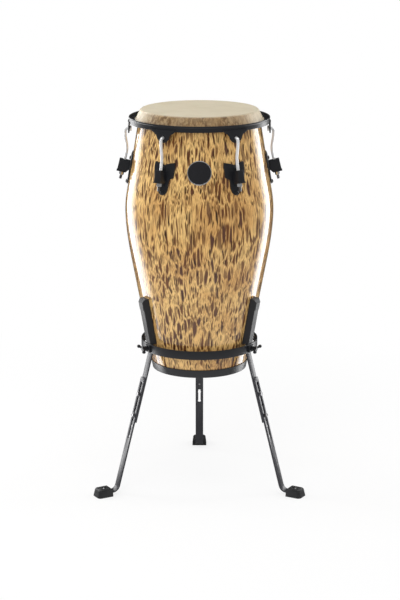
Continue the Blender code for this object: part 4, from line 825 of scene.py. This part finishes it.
def makeRim():
    bead, radius, wall = rim["bead"], rim["radius"], rim["wall"]
    inner = radius - wall
    flange = lapTop + seatGap
    corners = [
        (inner + bead * 0.2, rimTop - bead * 0.15, 0.0012), (inner + bead * 0.7, rimTop, 0.0012),
        (radius + bead * 0.3, rimTop - bead * 0.3, 0.0012), (radius + bead * 0.4, rimTop - bead * 1.2, 0.0010),
        (radius, rimTop - bead * 1.8, 0.0010), (radius, rimFoot, 0.0006), (inner, rimFoot, 0.0006),
        (inner, flange, 0.0003), (inner - rim["flangeWidth"], flange, 0.0008),
        (inner - rim["flangeWidth"], flange + rim["flangeThick"], 0.0010),
        (inner, flange + rim["flangeThick"], 0.0008), (inner, rimTop - bead * 0.7, 0.0006)]
    band = spun(softened(corners, steps=3), rim["steps"])
    wide, neck, deep = rim["earHalfTop"], rim["earHalfNeck"], rim["earDepth"]
    half = [
        (0.0, rimFoot + rim["earThick"] * 1.5, 0.0), (wide, rimFoot + rim["earThick"] * 1.5, 0.0006),
        (wide * 0.88, rimFoot - deep * 0.06, 0.006), (neck * 1.15, rimFoot - deep * 0.30, 0.010),
        (neck * 0.92, rimFoot - deep * 0.68, 0.010), (neck * 0.48, rimFoot - deep * 0.95, 0.008),
        (0.0, rimFoot - deep, 0.008)]
    ear = flatPlate(softened(mirroredHalf(half)), rim["earThick"] + wall / 6, rim["earEdge"], rim["earStrip"])
    bentRound(ear, lambda height: radius - wall / 6)
    bm = combined(band, around(ear, lugTurns))
    hookHeight = drumTop - hook["shankDrop"] + rim["holeRise"]
    inside, outside = rim["holeEnds"]
    hole = cylinder((inner - inside, 0.0, hookHeight), (radius + outside, 0.0, hookHeight), rim["earHole"], 24)
    piece("rimBand", cut(bm, around(hole, lugTurns)), ["black"], ["rim"], "black_steel", sharp=40.0)


# Hooks, nuts and lug plates
hook = {
    "radius": 0.0040, "bend": 0.0080, "headRadius": 0.0070, "headThick": 0.0050, "shankDrop": 0.0510,
    "rodRadius": 0.1995, "waistRadius": 0.1950, "waistDrop": 0.1025, "tilt": math.radians(13.6),
    "earLean": math.radians(5.0), "bendSteps": 8, "steps": 10,
    "overhang": 0.0205, "nutFlats": 0.0130, "nutHeight": 0.0080, "nutEdge": 0.0003,
    "pitch": 0.0014, "threadDepth": 0.0005,
}
lug = {
    "thick": 0.0040, "top": 0.5955, "length": 0.0860, "halfWidth": 0.0300, "halfWaist": 0.0155,
    "footRadius": 0.2089, "footHeight": 0.5432, "boxLength": 0.0338, "reach": 0.0136,
    "widthTop": 0.0160, "widthFoot": 0.0200, "lip": 0.0030, "lipEdge": 0.0012, "inset": 0.0095,
    "slant": 0.0090, "edge": 0.0013, "boltHead": 0.0056, "boltRise": 0.0035, "boltRadius": 0.0030,
    "upperBolt": 0.5795, "lowerBolt": 0.5158, "backThick": 0.0030, "backWidth": 0.0400, "backMargin": 0.012,
    "plateEdge": 0.0009, "backEdge": 0.0006, "backRound": 0.006, "lipRound": 0.0006, "boltPast": 0.0015,
    "bore": (0.02, 0.055), "strip": 0.004, "backStrip": 0.005, "row": 0.010,
}
threadUp = Vector((-math.sin(hook["tilt"]), 0.0, math.cos(hook["tilt"])))
threadOut = Vector((math.cos(hook["tilt"]), 0.0, math.sin(hook["tilt"])))
boxFoot = Vector((lug["footRadius"], 0.0, shell["base"] + lug["footHeight"]))
threadFrame = Matrix.Translation(boxFoot) @ Matrix.Rotation(-hook["tilt"], 4, "Y")


def hookPath():
    # From the head inside the ear, over the bend, past the waist and down the tilted bore
    shankHeight = drumTop - hook["shankDrop"]
    bend = hook["bend"]
    corner = hook["rodRadius"] - bend
    path = [Vector((rim["radius"] - hook["headThick"] / 2, 0.0, shankHeight))]
    for i in range(hook["bendSteps"] + 1):
        angle = math.radians(90.0 - 90.0 / hook["bendSteps"] * i)
        path.append(Vector((corner + bend * math.cos(angle), 0.0, shankHeight - bend + bend * math.sin(angle))))
    entry = boxFoot + threadUp * lug["boxLength"] * 1.1
    start = (shankHeight - bend * 1.9, hook["rodRadius"])
    waist = (drumTop - hook["waistDrop"], hook["waistRadius"])
    steps = hook["steps"]
    for i in range(steps):
        height = start[0] + (waist[0] - start[0]) * i / steps
        path.append(Vector((easedRadius(height, start, 0.0, waist, 0.0), 0.0, height)))
    last = (entry.z, entry.x)
    for i in range(steps):
        height = waist[0] + (last[0] - waist[0]) * i / steps
        path.append(Vector((easedRadius(height, waist, 0.0, last, -math.tan(hook["tilt"])), 0.0, height)))
    path += [entry, boxFoot - threadUp * hook["nutHeight"] * 0.6]
    return path


def threadedEnd(radius, depth, pitch, top, foot):
    # A lathe profile of ridges, pointed like a rolled thread
    profile = [(0.0, top), (radius - depth, top)]
    height = top
    while height - pitch > foot:
        profile += [(radius - depth, height), (radius, height - pitch * 0.4), (radius - depth, height - pitch * 0.8)]
        height -= pitch
    profile += [(radius - depth, foot + depth), (radius - depth * 2.5, foot), (0.0, foot)]
    return spun(profile, 20, closed=False)


def makeHooks():
    rod = rodAlong(hookPath(), hook["radius"])
    shankHeight = drumTop - hook["shankDrop"]
    face = rim["radius"] - rim["wall"] / 6 - hook["headRadius"] * math.tan(hook["earLean"]) - seatGap
    reach, thick = hook["headRadius"], hook["headThick"]
    disc = turned([(0.0, 0.0, 0.0), (reach, 0.0, thick / 4), (reach, thick, thick / 4), (0.0, thick, 0.0)], 32)
    place = Matrix.Translation((face - thick, 0.0, shankHeight)) @ Matrix.Rotation(math.pi / 2, 4, "Y")
    bm = combined(rod, moved(disc, place))
    tall = hook["nutHeight"]
    ridges = threadedEnd(hook["radius"], hook["threadDepth"], hook["pitch"], -tall * 0.4, -hook["overhang"])
    plain = len(bm.faces)
    bm = joined([bm, moved(ridges, threadFrame)])
    secondFinish(bm, plain)
    corner = hook["nutFlats"] / math.sqrt(3.0)
    nut = cylinder((0, 0, -seatGap - tall), (0, 0, -seatGap), corner, 6)
    barrel = turned([
        (0.0, -seatGap - tall, 0.0), (corner * 0.93, -seatGap - tall, 0.0), (corner * 1.02, -tall * 0.80, 0.0),
        (corner * 1.02, -tall * 0.24, 0.0), (corner * 0.93, -seatGap, 0.0), (0.0, -seatGap, 0.0)], 48)
    nut = combined(nut, barrel, "INTERSECT")
    bore = cylinder((0, 0, -tall * 2), (0, 0, tall / 4), hook["radius"] + seatGap, 24)
    nut = moved(bevelled(cut(nut, bore), hook["nutEdge"], 2, 25.0), threadFrame)
    copies(lugTurns, ("tuningHook", bm, ["hookSteel", "thread"], "hook", "chrome"),
           ("hookNut", nut, ["chrome"], "hook_nut", "chrome"))


def plateOutline():
    top, wide, waist, length = shell["base"] + lug["top"], lug["halfWidth"], lug["halfWaist"], lug["length"]
    half = [
        (0.0, top - length * 0.095, 0.004), (wide * 0.20, top - length * 0.060, 0.006),
        (wide * 0.97, top, 0.0025), (wide * 1.02, top - length * 0.13, 0.010),
        (wide * 0.95, top - length * 0.455, 0.0025), (waist * 1.04, top - length * 0.53, 0.0025),
        (waist * 0.97, top - length * 0.80, 0.010), (waist * 0.74, top - length * 0.92, 0.006),
        (waist * 0.36, top - length * 0.985, 0.004), (0.0, top - length, 0.004)]
    return softened(mirroredHalf(half), steps=3)


def plateMiddle(height):
    # Radius of the middle of the plate's thickness
    return shellRadius(height - shell["base"]) + seatGap + lug["thick"] / 2


def boxBlock():
    # The box drawn out sideways, narrower at its top, with a lip round its foot
    footOut = boxFoot + threadOut * lug["reach"]
    headOut = footOut + threadUp * lug["boxLength"]
    headIn = headOut - threadOut * ((headOut.x - plateMiddle(headOut.z - lug["inset"])) / threadOut.x)
    footIn = boxFoot - threadOut * (lug["inset"] / threadOut.x)
    root = footIn.z + lug["slant"]
    corners = [footOut, headOut, headIn, Vector((plateMiddle(root), 0.0, root)), footIn]
    bm = drawnOut([(p.x, -0.5, p.z) for p in corners], (0.0, 1.0, 0.0))
    for vert in bm.verts:
        share = (Vector((vert.co.x, 0.0, vert.co.z)) - boxFoot).dot(threadUp) / lug["boxLength"]
        vert.co.y *= lug["widthFoot"] + (lug["widthTop"] - lug["widthFoot"]) * share
    bevelled(bm, lug["edge"], 3, 20.0, allPast(0, boxFoot.x))
    edge = footOut + threadOut * lug["lipEdge"]
    lipCorners = [footIn, edge, edge + threadUp * lug["lip"], footIn + threadUp * lug["lip"]]
    half = lug["widthFoot"] / 2 + lug["lipEdge"]
    lip = drawnOut([(p.x, -half, p.z) for p in lipCorners], (0.0, 2 * half, 0.0))
    bevelled(lip, lug["lipRound"], 2, 20.0)
    return combined(bm, lip)


def boltLine(height, low, high):
    # Two points on the line square to the shell, low and high above its surface
    near = 0.004
    slope = (shellRadius(height + near) - shellRadius(height - near)) / (2 * near)
    lean = math.atan(-slope)
    normal = Vector((math.cos(lean), 0.0, math.sin(lean)))
    surface = Vector((shellRadius(height), 0.0, shell["base"] + height))
    return surface + normal * low, surface + normal * high


def makeLugs():
    plate = flatPlate(plateOutline(), lug["thick"], lug["plateEdge"], lug["strip"], lug["row"])
    bentRound(plate, lambda height: shellRadius(height - shell["base"]) + seatGap)
    plate = combined(plate, boxBlock())
    below, above = lug["bore"]
    bore = cylinder(boxFoot - threadUp * below, boxFoot + threadUp * above, hook["radius"] + seatGap, 24)
    plate = cut(plate, bore)
    inner = -shell["wall"] - seatGap
    half, ease = lug["backWidth"] / 2, lug["backRound"]
    low = shell["base"] + lug["lowerBolt"] - lug["backMargin"]
    high = shell["base"] + lug["upperBolt"] + lug["backMargin"]
    corners = [(half, high, ease), (half, low, ease), (-half, low, ease), (-half, high, ease)]
    backing = flatPlate(softened(corners), lug["backThick"], lug["backEdge"], lug["backStrip"], lug["row"])
    bentRound(backing, lambda height: shellRadius(height - shell["base"]) + inner - lug["backThick"])
    face = lug["thick"] + 2 * seatGap
    rise, wide = lug["boltRise"], lug["boltHead"]
    dome = turned([(0.0, 0.0, 0.0), (wide, 0.0, 0.0003), (wide * 0.98, rise * 0.30, 0.0012),
                   (wide * 0.72, rise * 0.80, 0.0030), (0.0, rise, 0.0030)], 32)
    heads, shanks = [], []
    for height in (lug["upperBolt"], lug["lowerBolt"]):
        root, seat = boltLine(height, inner - lug["backThick"] - lug["boltPast"], face)
        axis = (seat - root).to_track_quat("Z", "Y").to_matrix().to_4x4()
        heads.append(moved(dome.copy(), Matrix.Translation(seat) @ axis))
        shanks.append(cylinder(root, seat + (seat - root).normalized() * rise * 0.3, lug["boltRadius"], 20))
    backing = joined([backing] + shanks)
    plain = len(backing.faces)
    backing = joined([backing] + heads)
    secondFinish(backing, plain)
    copies(lugTurns, ("lugPlate", plate, ["black"], "lug_plate", "black_steel"),
           ("backingPlate", backing, ["zinc", "black"], "backing_plate", "zinc"))


badge = {
    "radius": 0.0320, "height": 0.5707, "thick": 0.0013, "edgeWidth": 0.0026, "edgeRise": 0.0009,
    "groove": (0.0003, 0.0006, 0.00025), "strip": 0.004,
}


def makeBadge():
    # A plain enamelled disc with a bright edge and a fine ring, bent to the shell
    radius, width, thick, rise = badge["radius"], badge["edgeWidth"], badge["thick"], badge["edgeRise"]
    ring = radius - width * 1.9
    floor, shore, deep = badge["groove"]
    corners = [(radius * 0.18 * i, thick, 0.0) for i in range(5)]
    corners += [
        (ring - shore, thick, 0.0), (ring - floor, thick - deep, 0.0), (ring + floor, thick - deep, 0.0),
        (ring + shore, thick, 0.0), (radius - width, thick, 0.0), (radius - width * 0.80, thick + rise, 0.0004),
        (radius - width * 0.2, thick + rise, 0.0006), (radius, thick * 0.6, 0.0004), (radius, 0.0, 0.0),
        (0.0, 0.0, 0.0)]
    bm = spun(softened(corners, steps=3, closed=False), 96, closed=False)
    for face in bm.faces:
        reach = face.calc_center_median().xy.length
        raised = face.calc_center_median().z > thick + 0.0001
        face.material_index = 1 if raised or reach > radius - width * 0.9 else 0
    moved(bm, Matrix.Rotation(math.pi / 2, 4, "Y"))
    strips(bm, badge["strip"], radius)
    for vert in bm.verts:
        vert.co.z += shell["base"] + badge["height"]
    bentRound(bm, lambda height: shellRadius(height - shell["base"]) + seatGap)
    piece("badgePlate", bm, ["badgeFace", "chrome"], ["badge"], "badge", -math.pi / 2)


# Stand
stand = {
    "ringRadius": 0.1595, "ringWall": 0.0040, "ringHeight": 0.0230, "ringBase": 0.3860,
    "ringEdge": 0.0009, "ringInnerEdge": 0.0003,
    "barWidth": 0.0220, "barThick": 0.0040, "barRadius": 0.152238, "uprightTop": 0.5290, "bend": 0.0200,
    "tilt": math.radians(15.64), "barBelow": 0.1980, "lowerStart": 0.0730, "edge": 0.0005,
    "tongueHeight": 0.0090, "tongueEnd": 0.3150, "lowerOffset": 0.0043,
    "firstBolt": 0.1200, "notchPitch": 0.0300, "notchRadius": 0.0045, "slotWidth": 0.0062,
    "boltNotches": (0, 2), "firstNotch": -1, "lastNotch": 4,
    "boltFlats": 0.0100, "boltHead": 0.0040, "boltFlange": 0.0065, "boltFlangeThick": 0.0014,
    "boltShoulder": 0.0009, "boltHollow": 0.0004, "boltEdge": 0.0002, "notchSteps": 8, "fineSteps": 288,
}
ringTop = stand["ringBase"] + stand["ringHeight"]
ringMiddle = stand["ringBase"] + stand["ringHeight"] / 2
legDown = Vector((math.sin(stand["tilt"]), 0.0, -math.cos(stand["tilt"])))
legOut = Vector((math.cos(stand["tilt"]), 0.0, math.sin(stand["tilt"])))
legKnee = Vector((stand["barRadius"], 0.0, stand["ringBase"]))
padLean = Vector((coneSlope, 0.0, 1.0)).normalized()
padGap = 0.0030


def onLeg(distance, out=0.0):
    # A point down the leg from its knee, and outward from its middle line
    return legKnee + legDown * distance + legOut * out


def filleted(points, radius, steps):
    # An open path whose corners are true arcs of one radius
    path = [Vector(points[0])]
    for before, corner, after in zip(points, points[1:], points[2:]):
        back, forth = (before - corner).normalized(), (after - corner).normalized()
        half = back.angle(forth) / 2
        centre = corner + (back + forth).normalized() * (radius / math.sin(half))
        start = (corner + back * radius / math.tan(half) - centre).normalized()
        end = (corner + forth * radius / math.tan(half) - centre).normalized()
        path += [centre + start.slerp(end, i / steps) * radius for i in range(steps + 1)]
    path.append(Vector(points[-1]))
    return path


def flatBar(path, width, thick):
    # The bar's middle line is drawn out to its width and then given its thickness
    bm = bmesh.new()
    line = [bm.verts.new((point.x, -width / 2, point.z)) for point in path]
    edges = [bm.edges.new(pair) for pair in zip(line, line[1:])]
    drawn = bmesh.ops.extrude_edge_only(bm, edges=edges)
    far = [item for item in drawn["geom"] if isinstance(item, bmesh.types.BMVert)]
    bmesh.ops.translate(bm, verts=far, vec=(0.0, width, 0.0))
    bmesh.ops.recalc_face_normals(bm, faces=bm.faces)
    holder = linked(bm, "bar")
    wall = holder.modifiers.new("wall", "SOLIDIFY")
    wall.thickness = thick
    wall.offset = 0.0
    wall.use_even_offset = True
    wall.use_quality_normals = True
    bar = afterModifiers(holder)
    bmesh.ops.recalc_face_normals(bar, faces=bar.faces)
    return bar


def uprightPath(extra=0.0):
    top = ringTop + padGap / 2
    knee = Vector((stand["barRadius"], 0.0, top))
    length = (stand["uprightTop"] - top) / padLean.z
    return filleted([knee + padLean * (length + extra), knee, legKnee, legKnee + legDown * stand["barBelow"]],
                    stand["bend"], 10)


def lowerLegPath():
    start = onLeg(stand["lowerStart"], stand["lowerOffset"])
    heel = start + legDown * ((start.z - stand["tongueHeight"]) / -legDown.z)
    return filleted([start, heel, Vector((stand["tongueEnd"], 0.0, stand["tongueHeight"]))], stand["bend"], 12)


def boltPlaces():
    return [stand["firstBolt"] + stand["notchPitch"] * n for n in stand["boltNotches"]]


def slotOutline():
    # Round notches at the pitch, joined by a narrower slot
    radius, half = stand["notchRadius"], stand["slotWidth"] / 2
    neck = math.asin(half / radius)
    side = []
    for n in range(stand["firstNotch"], stand["lastNotch"] + 1):
        start = math.pi if n == stand["firstNotch"] else math.pi - neck
        end = 0.0 if n == stand["lastNotch"] else neck
        for i in range(stand["notchSteps"] + 1):
            angle = start + (end - start) * i / stand["notchSteps"]
            side.append((stand["notchPitch"] * n + radius * math.cos(angle), radius * math.sin(angle)))
    return side + [(u, -v) for u, v in reversed(side) if v > 1e-6]


def makeStandRing():
    radius, wall, edge = stand["ringRadius"], stand["ringWall"], stand["ringEdge"]
    base, top = stand["ringBase"], ringTop
    inner, ease = radius - wall, stand["ringInnerEdge"]
    corners = [(radius, top, edge), (radius, base, edge), (inner, base, ease), (inner, top, ease)]
    ring = spun(softened(corners), shell["steps"])
    hole = cylinder((inner - wall, 0.0, ringMiddle), (radius + wall, 0.0, ringMiddle), clamp["screw"] + seatGap, 24)
    piece("standRing", cut(ring, around(hole, legTurns)), ["satin"], ["stand_ring"], "black_steel")


def makeLegs():
    width, thick = stand["barWidth"], stand["barThick"]
    upper = flatBar(uprightPath(), width, thick)
    holes = [cylinder(onLeg(s, -2 * thick), onLeg(s, 2 * thick), stand["slotWidth"] / 2, 24) for s in boltPlaces()]
    middle, through = Vector((stand["barRadius"], 0.0, ringMiddle)), Vector((thick, 0, 0))
    holes.append(cylinder(middle - through, middle + through, clamp["screw"] + seatGap, 24))
    upper = bevelled(cut(upper, joined(holes)), stand["edge"], 2, 40.0)
    lower = flatBar(lowerLegPath(), width, thick)
    frameDown = Matrix(((legDown.x, 0, legOut.x, 0), (0, 1, 0, 0), (legDown.z, 0, legOut.z, 0), (0, 0, 0, 1)))
    slot = drawnOut([(u, v, -thick * 2) for u, v in slotOutline()], (0.0, 0.0, thick * 4))
    moved(slot, Matrix.Translation(onLeg(stand["firstBolt"], stand["lowerOffset"])) @ frameDown)
    hole = cylinder((foot["screwAt"], 0, 0), (foot["screwAt"], 0, foot["holeTop"]), foot["screw"] + seatGap, 16)
    lower = bevelled(cut(cut(lower, slot), hole), stand["edge"], 2, 40.0)
    copies(legTurns, ("legUpright", upper, ["bar"], "leg_upright", "black_steel"),
           ("lowerLeg", lower, ["bar"], "lower_leg", "black_steel"))


def makeLegBolts():
    # A hexagon head with a flange and a hollow in its top
    thick, rise, flange = stand["barThick"], stand["boltFlangeThick"], stand["boltFlange"]
    face = stand["lowerOffset"] + thick / 2 + seatGap
    corner = stand["boltFlats"] / math.sqrt(3.0)
    shank = stand["slotWidth"] / 2 - seatGap
    base = turned([
        (0.0, -thick / 2, 0.0), (shank, -thick / 2, 0.0004), (shank, face, 0.0), (flange, face, 0.0003),
        (flange, face + rise * 0.5, 0.0004), (corner * 0.98, face + rise, 0.0003), (0.0, face + rise, 0.0)], 48)
    top = face + rise + stand["boltHead"]
    prism = cylinder((0, 0, face + rise * 0.5), (0, 0, top), corner, 6)
    shoulder, hollow = top - stand["boltShoulder"], top - stand["boltHollow"]
    crown = turned([
        (0.0, face, 0.0), (corner * 1.02, face, 0.0), (corner * 1.02, shoulder, 0.0), (corner * 0.90, top, 0.0006),
        (corner * 0.60, top, 0.0003), (corner * 0.55, hollow, 0.0003), (0.0, hollow, 0.0)], 48)
    prism = bevelled(combined(prism, crown, "INTERSECT"), stand["boltEdge"], 2, 35.0)
    bolt = combined(base, prism)
    for i, turn in enumerate(legTurns, start=1):
        for letter, distance in zip("ab", boltPlaces()):
            seat = Matrix.Translation(onLeg(distance)) @ Matrix.Rotation(math.pi / 2 - stand["tilt"], 4, "Y")
            stands = [f"leg_bolt_{i}{letter}"]
            piece(f"legBolt{i}{letter}", moved(bolt.copy(), seat), ["thread"], stands, "zinc", turn)


pad = {
    "out": 0.0055, "halfFace": 0.0100, "halfBack": 0.0125, "halfRoot": 0.0165, "shoulder": 0.0045,
    "lip": 0.0010, "cap": 0.0230, "crown": 0.0040, "peak": 0.0120, "proud": 0.0001, "sweep": 0.05,
    "groove": 0.0007, "grooves": 5, "rows": 48,
}


def padPlan(face):
    # The sleeve's cross-section as (out, across), with shallow grooves down its outer face
    outer = face + pad["out"] + pad["lip"] * 2.0
    half = [(shell["baseRadius"] * 0.9, pad["halfRoot"], 0.0),
            (face - pad["shoulder"] * 2, pad["halfRoot"] - pad["lip"], 0.004),
            (outer - pad["shoulder"], pad["halfBack"], 0.002), (outer - 0.0002, pad["halfFace"], 0.0012)]
    ridges = []
    pitch = 2 * pad["halfFace"] / (pad["grooves"] + 1)
    for n in range(pad["grooves"]):
        middle = -pad["halfFace"] + pitch * (n + 1)
        for across, depth in ((-0.30, 0.0), (-0.12, 1.0), (0.12, 1.0), (0.30, 0.0)):
            ridges.append((outer - depth * pad["groove"], middle + across * pitch, 0.0003))
    plan = [(x, -y, r) for x, y, r in half] + ridges + list(reversed(half))
    return softened(plan, steps=3)


def makePads():
    # Drawn up from its plan, cut to its side view, and hollowed by the shell and the upright
    foot = ringTop + padGap
    face = stand["barRadius"] + padLean.z * stand["barThick"] / 2 + seatGap
    crown = stand["uprightTop"] + pad["crown"]
    lip = stand["uprightTop"] - pad["cap"]
    rise = crown + pad["peak"] * 2 - foot
    low = foot - pad["lip"]
    block = drawnOut([(x, y, low) for x, y in padPlan(face)], (coneSlope * rise, 0.0, rise))
    sweep = pad["sweep"]

    def outer(height, proud, radius):
        return (face + proud + coneSlope * (height - foot), -sweep, height, radius)

    inside = shell["baseRadius"] * 0.8
    sleeveOut, capOut = pad["out"] + pad["proud"], pad["out"] + pad["lip"] * 1.5
    side = [
        (inside, -sweep, low, 0.0), outer(low, sleeveOut, 0.0008), outer(lip, sleeveOut, 0.0004),
        outer(lip + pad["lip"], capOut, 0.0005), outer(crown - pad["crown"], capOut, 0.003),
        outer(crown, pad["out"] - pad["crown"] * 0.6, 0.003), outer(crown + pad["peak"] * 0.35, 0.0, 0.004),
        (inside, -sweep, crown + pad["peak"] * 1.3, 0.0)]
    outline = drawnOut(softened(side), (0.0, 2 * sweep, 0.0))
    sleeve = combined(block, outline, "INTERSECT")
    base, count = shell["base"], pad["rows"]
    lowest, highest = (foot - base) * 0.5, stand["uprightTop"] - base + pad["peak"] * 4
    wall = [(shellRadius(h) + seatGap, base + h)
            for h in [highest + (lowest - highest) * i / count for i in range(count + 1)]]
    cone = spun([(0.0, wall[0][1])] + wall + [(0.0, wall[-1][1])], stand["fineSteps"], closed=False)
    wide = 2 * seatGap
    pocket = flatBar(uprightPath(seatGap), stand["barWidth"] + wide, stand["barThick"] + wide)
    sleeve = cut(cut(sleeve, cone), pocket)
    copies(legTurns, ("rubberPad", sleeve, ["rubber"], "rubber_pad", "rubber", 25.0))


clamp = {
    "blockWidth": 0.0240, "blockHeight": 0.0190, "blockThick": 0.0050, "edge": 0.0012, "screw": 0.0040,
    "inside": 0.0020, "washer": 0.0085, "washerThick": 0.0016, "hub": 0.0065, "hubLength": 0.0130,
    "span": 0.0152, "sweep": 0.0050, "ball": 0.0052, "arm": 0.0030, "bore": (0.15, 0.19),
    "hubEdge": 0.0012, "hubLap": 0.0002, "hubTaper": 0.82, "armTaper": (1.15, 0.95), "ballFlat": 0.86,
    "pitch": 0.0012, "threadDepth": 0.0004, "voxel": 0.00042, "smoothing": 5, "wingTurns": (65.0, -18.5, 18.5),
}


def makeClamps():
    # Blocks hollowed to the ring, and wing screws whose hub, arms and ends are cast in one
    seat = stand["ringRadius"] + seatGap
    depth = clamp["blockThick"] * 2
    block = box((depth, clamp["blockWidth"], clamp["blockHeight"]),
                (seat + clamp["blockThick"] - depth / 2, 0.0, ringMiddle))
    bevelled(block, clamp["edge"], 3, 30.0, allPast(0, seat))
    base = stand["ringBase"]
    ring = spun([(0.0, ringTop), (seat, ringTop), (seat, base), (0.0, base)], stand["fineSteps"], closed=False)
    inner, outer = clamp["bore"]
    bore = cylinder((inner, 0, ringMiddle), (outer, 0, ringMiddle), clamp["screw"] + seatGap, 24)
    block = cut(cut(block, ring), bore)
    start = stand["barRadius"] - stand["barThick"] / 2 - clamp["inside"]
    washer = seat + clamp["blockThick"] + seatGap - start
    hub = washer + clamp["washerThick"]
    end = hub + clamp["hubLength"]
    reach = end - clamp["hub"] * 0.5 + clamp["sweep"]
    radius, ease, lap = clamp["hub"], clamp["hubEdge"], clamp["hubLap"]
    body = [cylinder((hub - 3 * lap, 0, 0), (end - ease, 0, 0), radius, 40),
            cylinder((end - ease - lap, 0, 0), (end, 0, 0), radius, 40, radius * clamp["hubTaper"])]
    wide, narrow = (clamp["arm"] * share for share in clamp["armTaper"])
    for span in (-clamp["span"], clamp["span"]):
        body.append(cylinder((end - radius, 0, 0), (reach, span, 0), wide, 24, narrow))
        ball = bmesh.new()
        bmesh.ops.create_uvsphere(ball, u_segments=32, v_segments=20, radius=clamp["ball"])
        bmesh.ops.scale(ball, vec=(1.0, 1.0, clamp["ballFlat"]), verts=ball.verts)
        body.append(moved(ball, Matrix.Translation((reach, span, 0.0))))
    holder = linked(joined(body), "wings")
    cast = holder.modifiers.new("cast", "REMESH")
    cast.mode = "VOXEL"
    cast.voxel_size = clamp["voxel"]
    wings = afterModifiers(holder)
    for _ in range(clamp["smoothing"]):
        bmesh.ops.smooth_vert(wings, verts=wings.verts, factor=0.5, use_axis_x=True, use_axis_y=True, use_axis_z=True)
    shank = threadedEnd(clamp["screw"], clamp["threadDepth"], clamp["pitch"], hub, 0.0)
    wide = clamp["washer"]
    disc = turned([(0.0, washer, 0.0), (wide, washer, 0.0004), (wide, hub, 0.0005), (0.0, hub, 0.0)], 48)
    along = Matrix.Rotation(math.pi / 2, 4, "Y")
    screw = joined([combined(moved(shank, along), moved(disc, along)), wings])
    for i, (turn, wing) in enumerate(zip(legTurns, clamp["wingTurns"]), start=1):
        piece(f"clampBlock{i}", block.copy(), ["black"], [f"clamp_block_{i}"], "black_steel", turn)
        place = Matrix.Translation((start, 0.0, ringMiddle)) @ Matrix.Rotation(math.radians(wing), 4, "X")
        piece(f"wingScrew{i}", moved(screw.copy(), place), ["black"], [f"wing_screw_{i}"], "black_steel", turn)


foot = {
    "inner": 0.2820, "outer": 0.3259, "halfWidth": 0.0205, "halfTop": 0.0178, "top": 0.0220, "slope": 0.0045,
    "round": 0.0090, "edge": 0.0048, "fineEdge": 0.0008, "screwAt": 0.3000, "screw": 0.0022, "screwHead": 0.0042,
    "holeTop": 0.02, "dimple": 0.0030, "cross": (0.0009, 0.0028),
}


def makeFeet():
    # A tapered block, rounded most at its outer corners, with a pocket for the leg's tongue and a well for the screw
    body = bmesh.new()
    bmesh.ops.create_cube(body, size=2.0)
    for vert in body.verts:
        outer, side, upper = vert.co.x > 0, vert.co.y, vert.co.z > 0
        reach = foot["outer"] - (foot["slope"] if upper else 0.0)
        width = foot["halfTop"] if upper else foot["halfWidth"]
        vert.co = Vector((reach if outer else foot["inner"], side * width, foot["top"] if upper else 0.0))

    outside = allPast(0, foot["inner"] * 1.03)

    def outerCorner(edge):
        return outside(edge) and abs(edge.verts[0].co.z - edge.verts[1].co.z) > foot["top"] / 2

    bevelled(body, foot["round"], 10, 20.0, outerCorner)
    bevelled(body, foot["edge"], 4, 25.0, allPast(2, foot["top"] * 0.9))
    bevelled(body, foot["fineEdge"], 2, 30.0, lambda edge: any(vert.co.z > 0.001 for vert in edge.verts))
    length = stand["tongueEnd"] + seatGap - foot["inner"]
    room = box((length * 2, stand["barWidth"] + 2 * seatGap, stand["barThick"] + 2 * seatGap),
               (foot["inner"], 0.0, stand["tongueHeight"]))
    at = foot["screwAt"]
    well = foot["top"] - foot["dimple"]
    hole = cylinder((at, 0, stand["tongueHeight"]), (at, 0, foot["top"] * 1.5), foot["screw"] + seatGap, 20)
    dimple = cylinder((at, 0, well), (at, 0, foot["top"] * 1.5), foot["screwHead"] + seatGap * 3, 40)
    body = cut(cut(cut(body, room), hole), dimple)
    low, seat, high = stand["tongueHeight"] - stand["barThick"] / 2, well + seatGap, foot["top"] - seatGap
    head = foot["screwHead"]
    screw = turned([
        (0.0, low, 0.0), (foot["screw"], low, 0.0004), (foot["screw"], seat, 0.0), (head, seat, 0.0004),
        (head * 0.96, seat + 0.0008, 0.0008), (head * 0.6, high, 0.0012), (0.0, high, 0.0)], 40)
    for turn in (0.0, math.pi / 2):
        place = Matrix.Translation((0, 0, high)) @ Matrix.Rotation(turn, 4, "Z")
        screw = cut(screw, moved(box((head * 1.15, *foot["cross"])), place))
    moved(screw, Matrix.Translation((at, 0.0, 0.0)))
    copies(legTurns, ("foot", body, ["rubber"], "foot", "rubber", 28.0),
           ("footScrew", screw, ["zinc"], "foot_screw", "zinc"))


makeShell()
makeBottomBand()
makeHead()
makeRim()
print("stage: shell, head and rim")
makeHooks()
makeLugs()
makeBadge()
print("stage: hooks, lugs and badge")
makeStandRing()
makeLegs()
makeLegBolts()
makePads()
makeClamps()
makeFeet()
print("stage: stand")

bpy.context.scene.view_settings.view_transform = "Standard"
placeCamera()
lightWorld()
layFloor()
hangLamps()
print("stage: camera, floor and lamps")

bpy.context.view_layer.update()
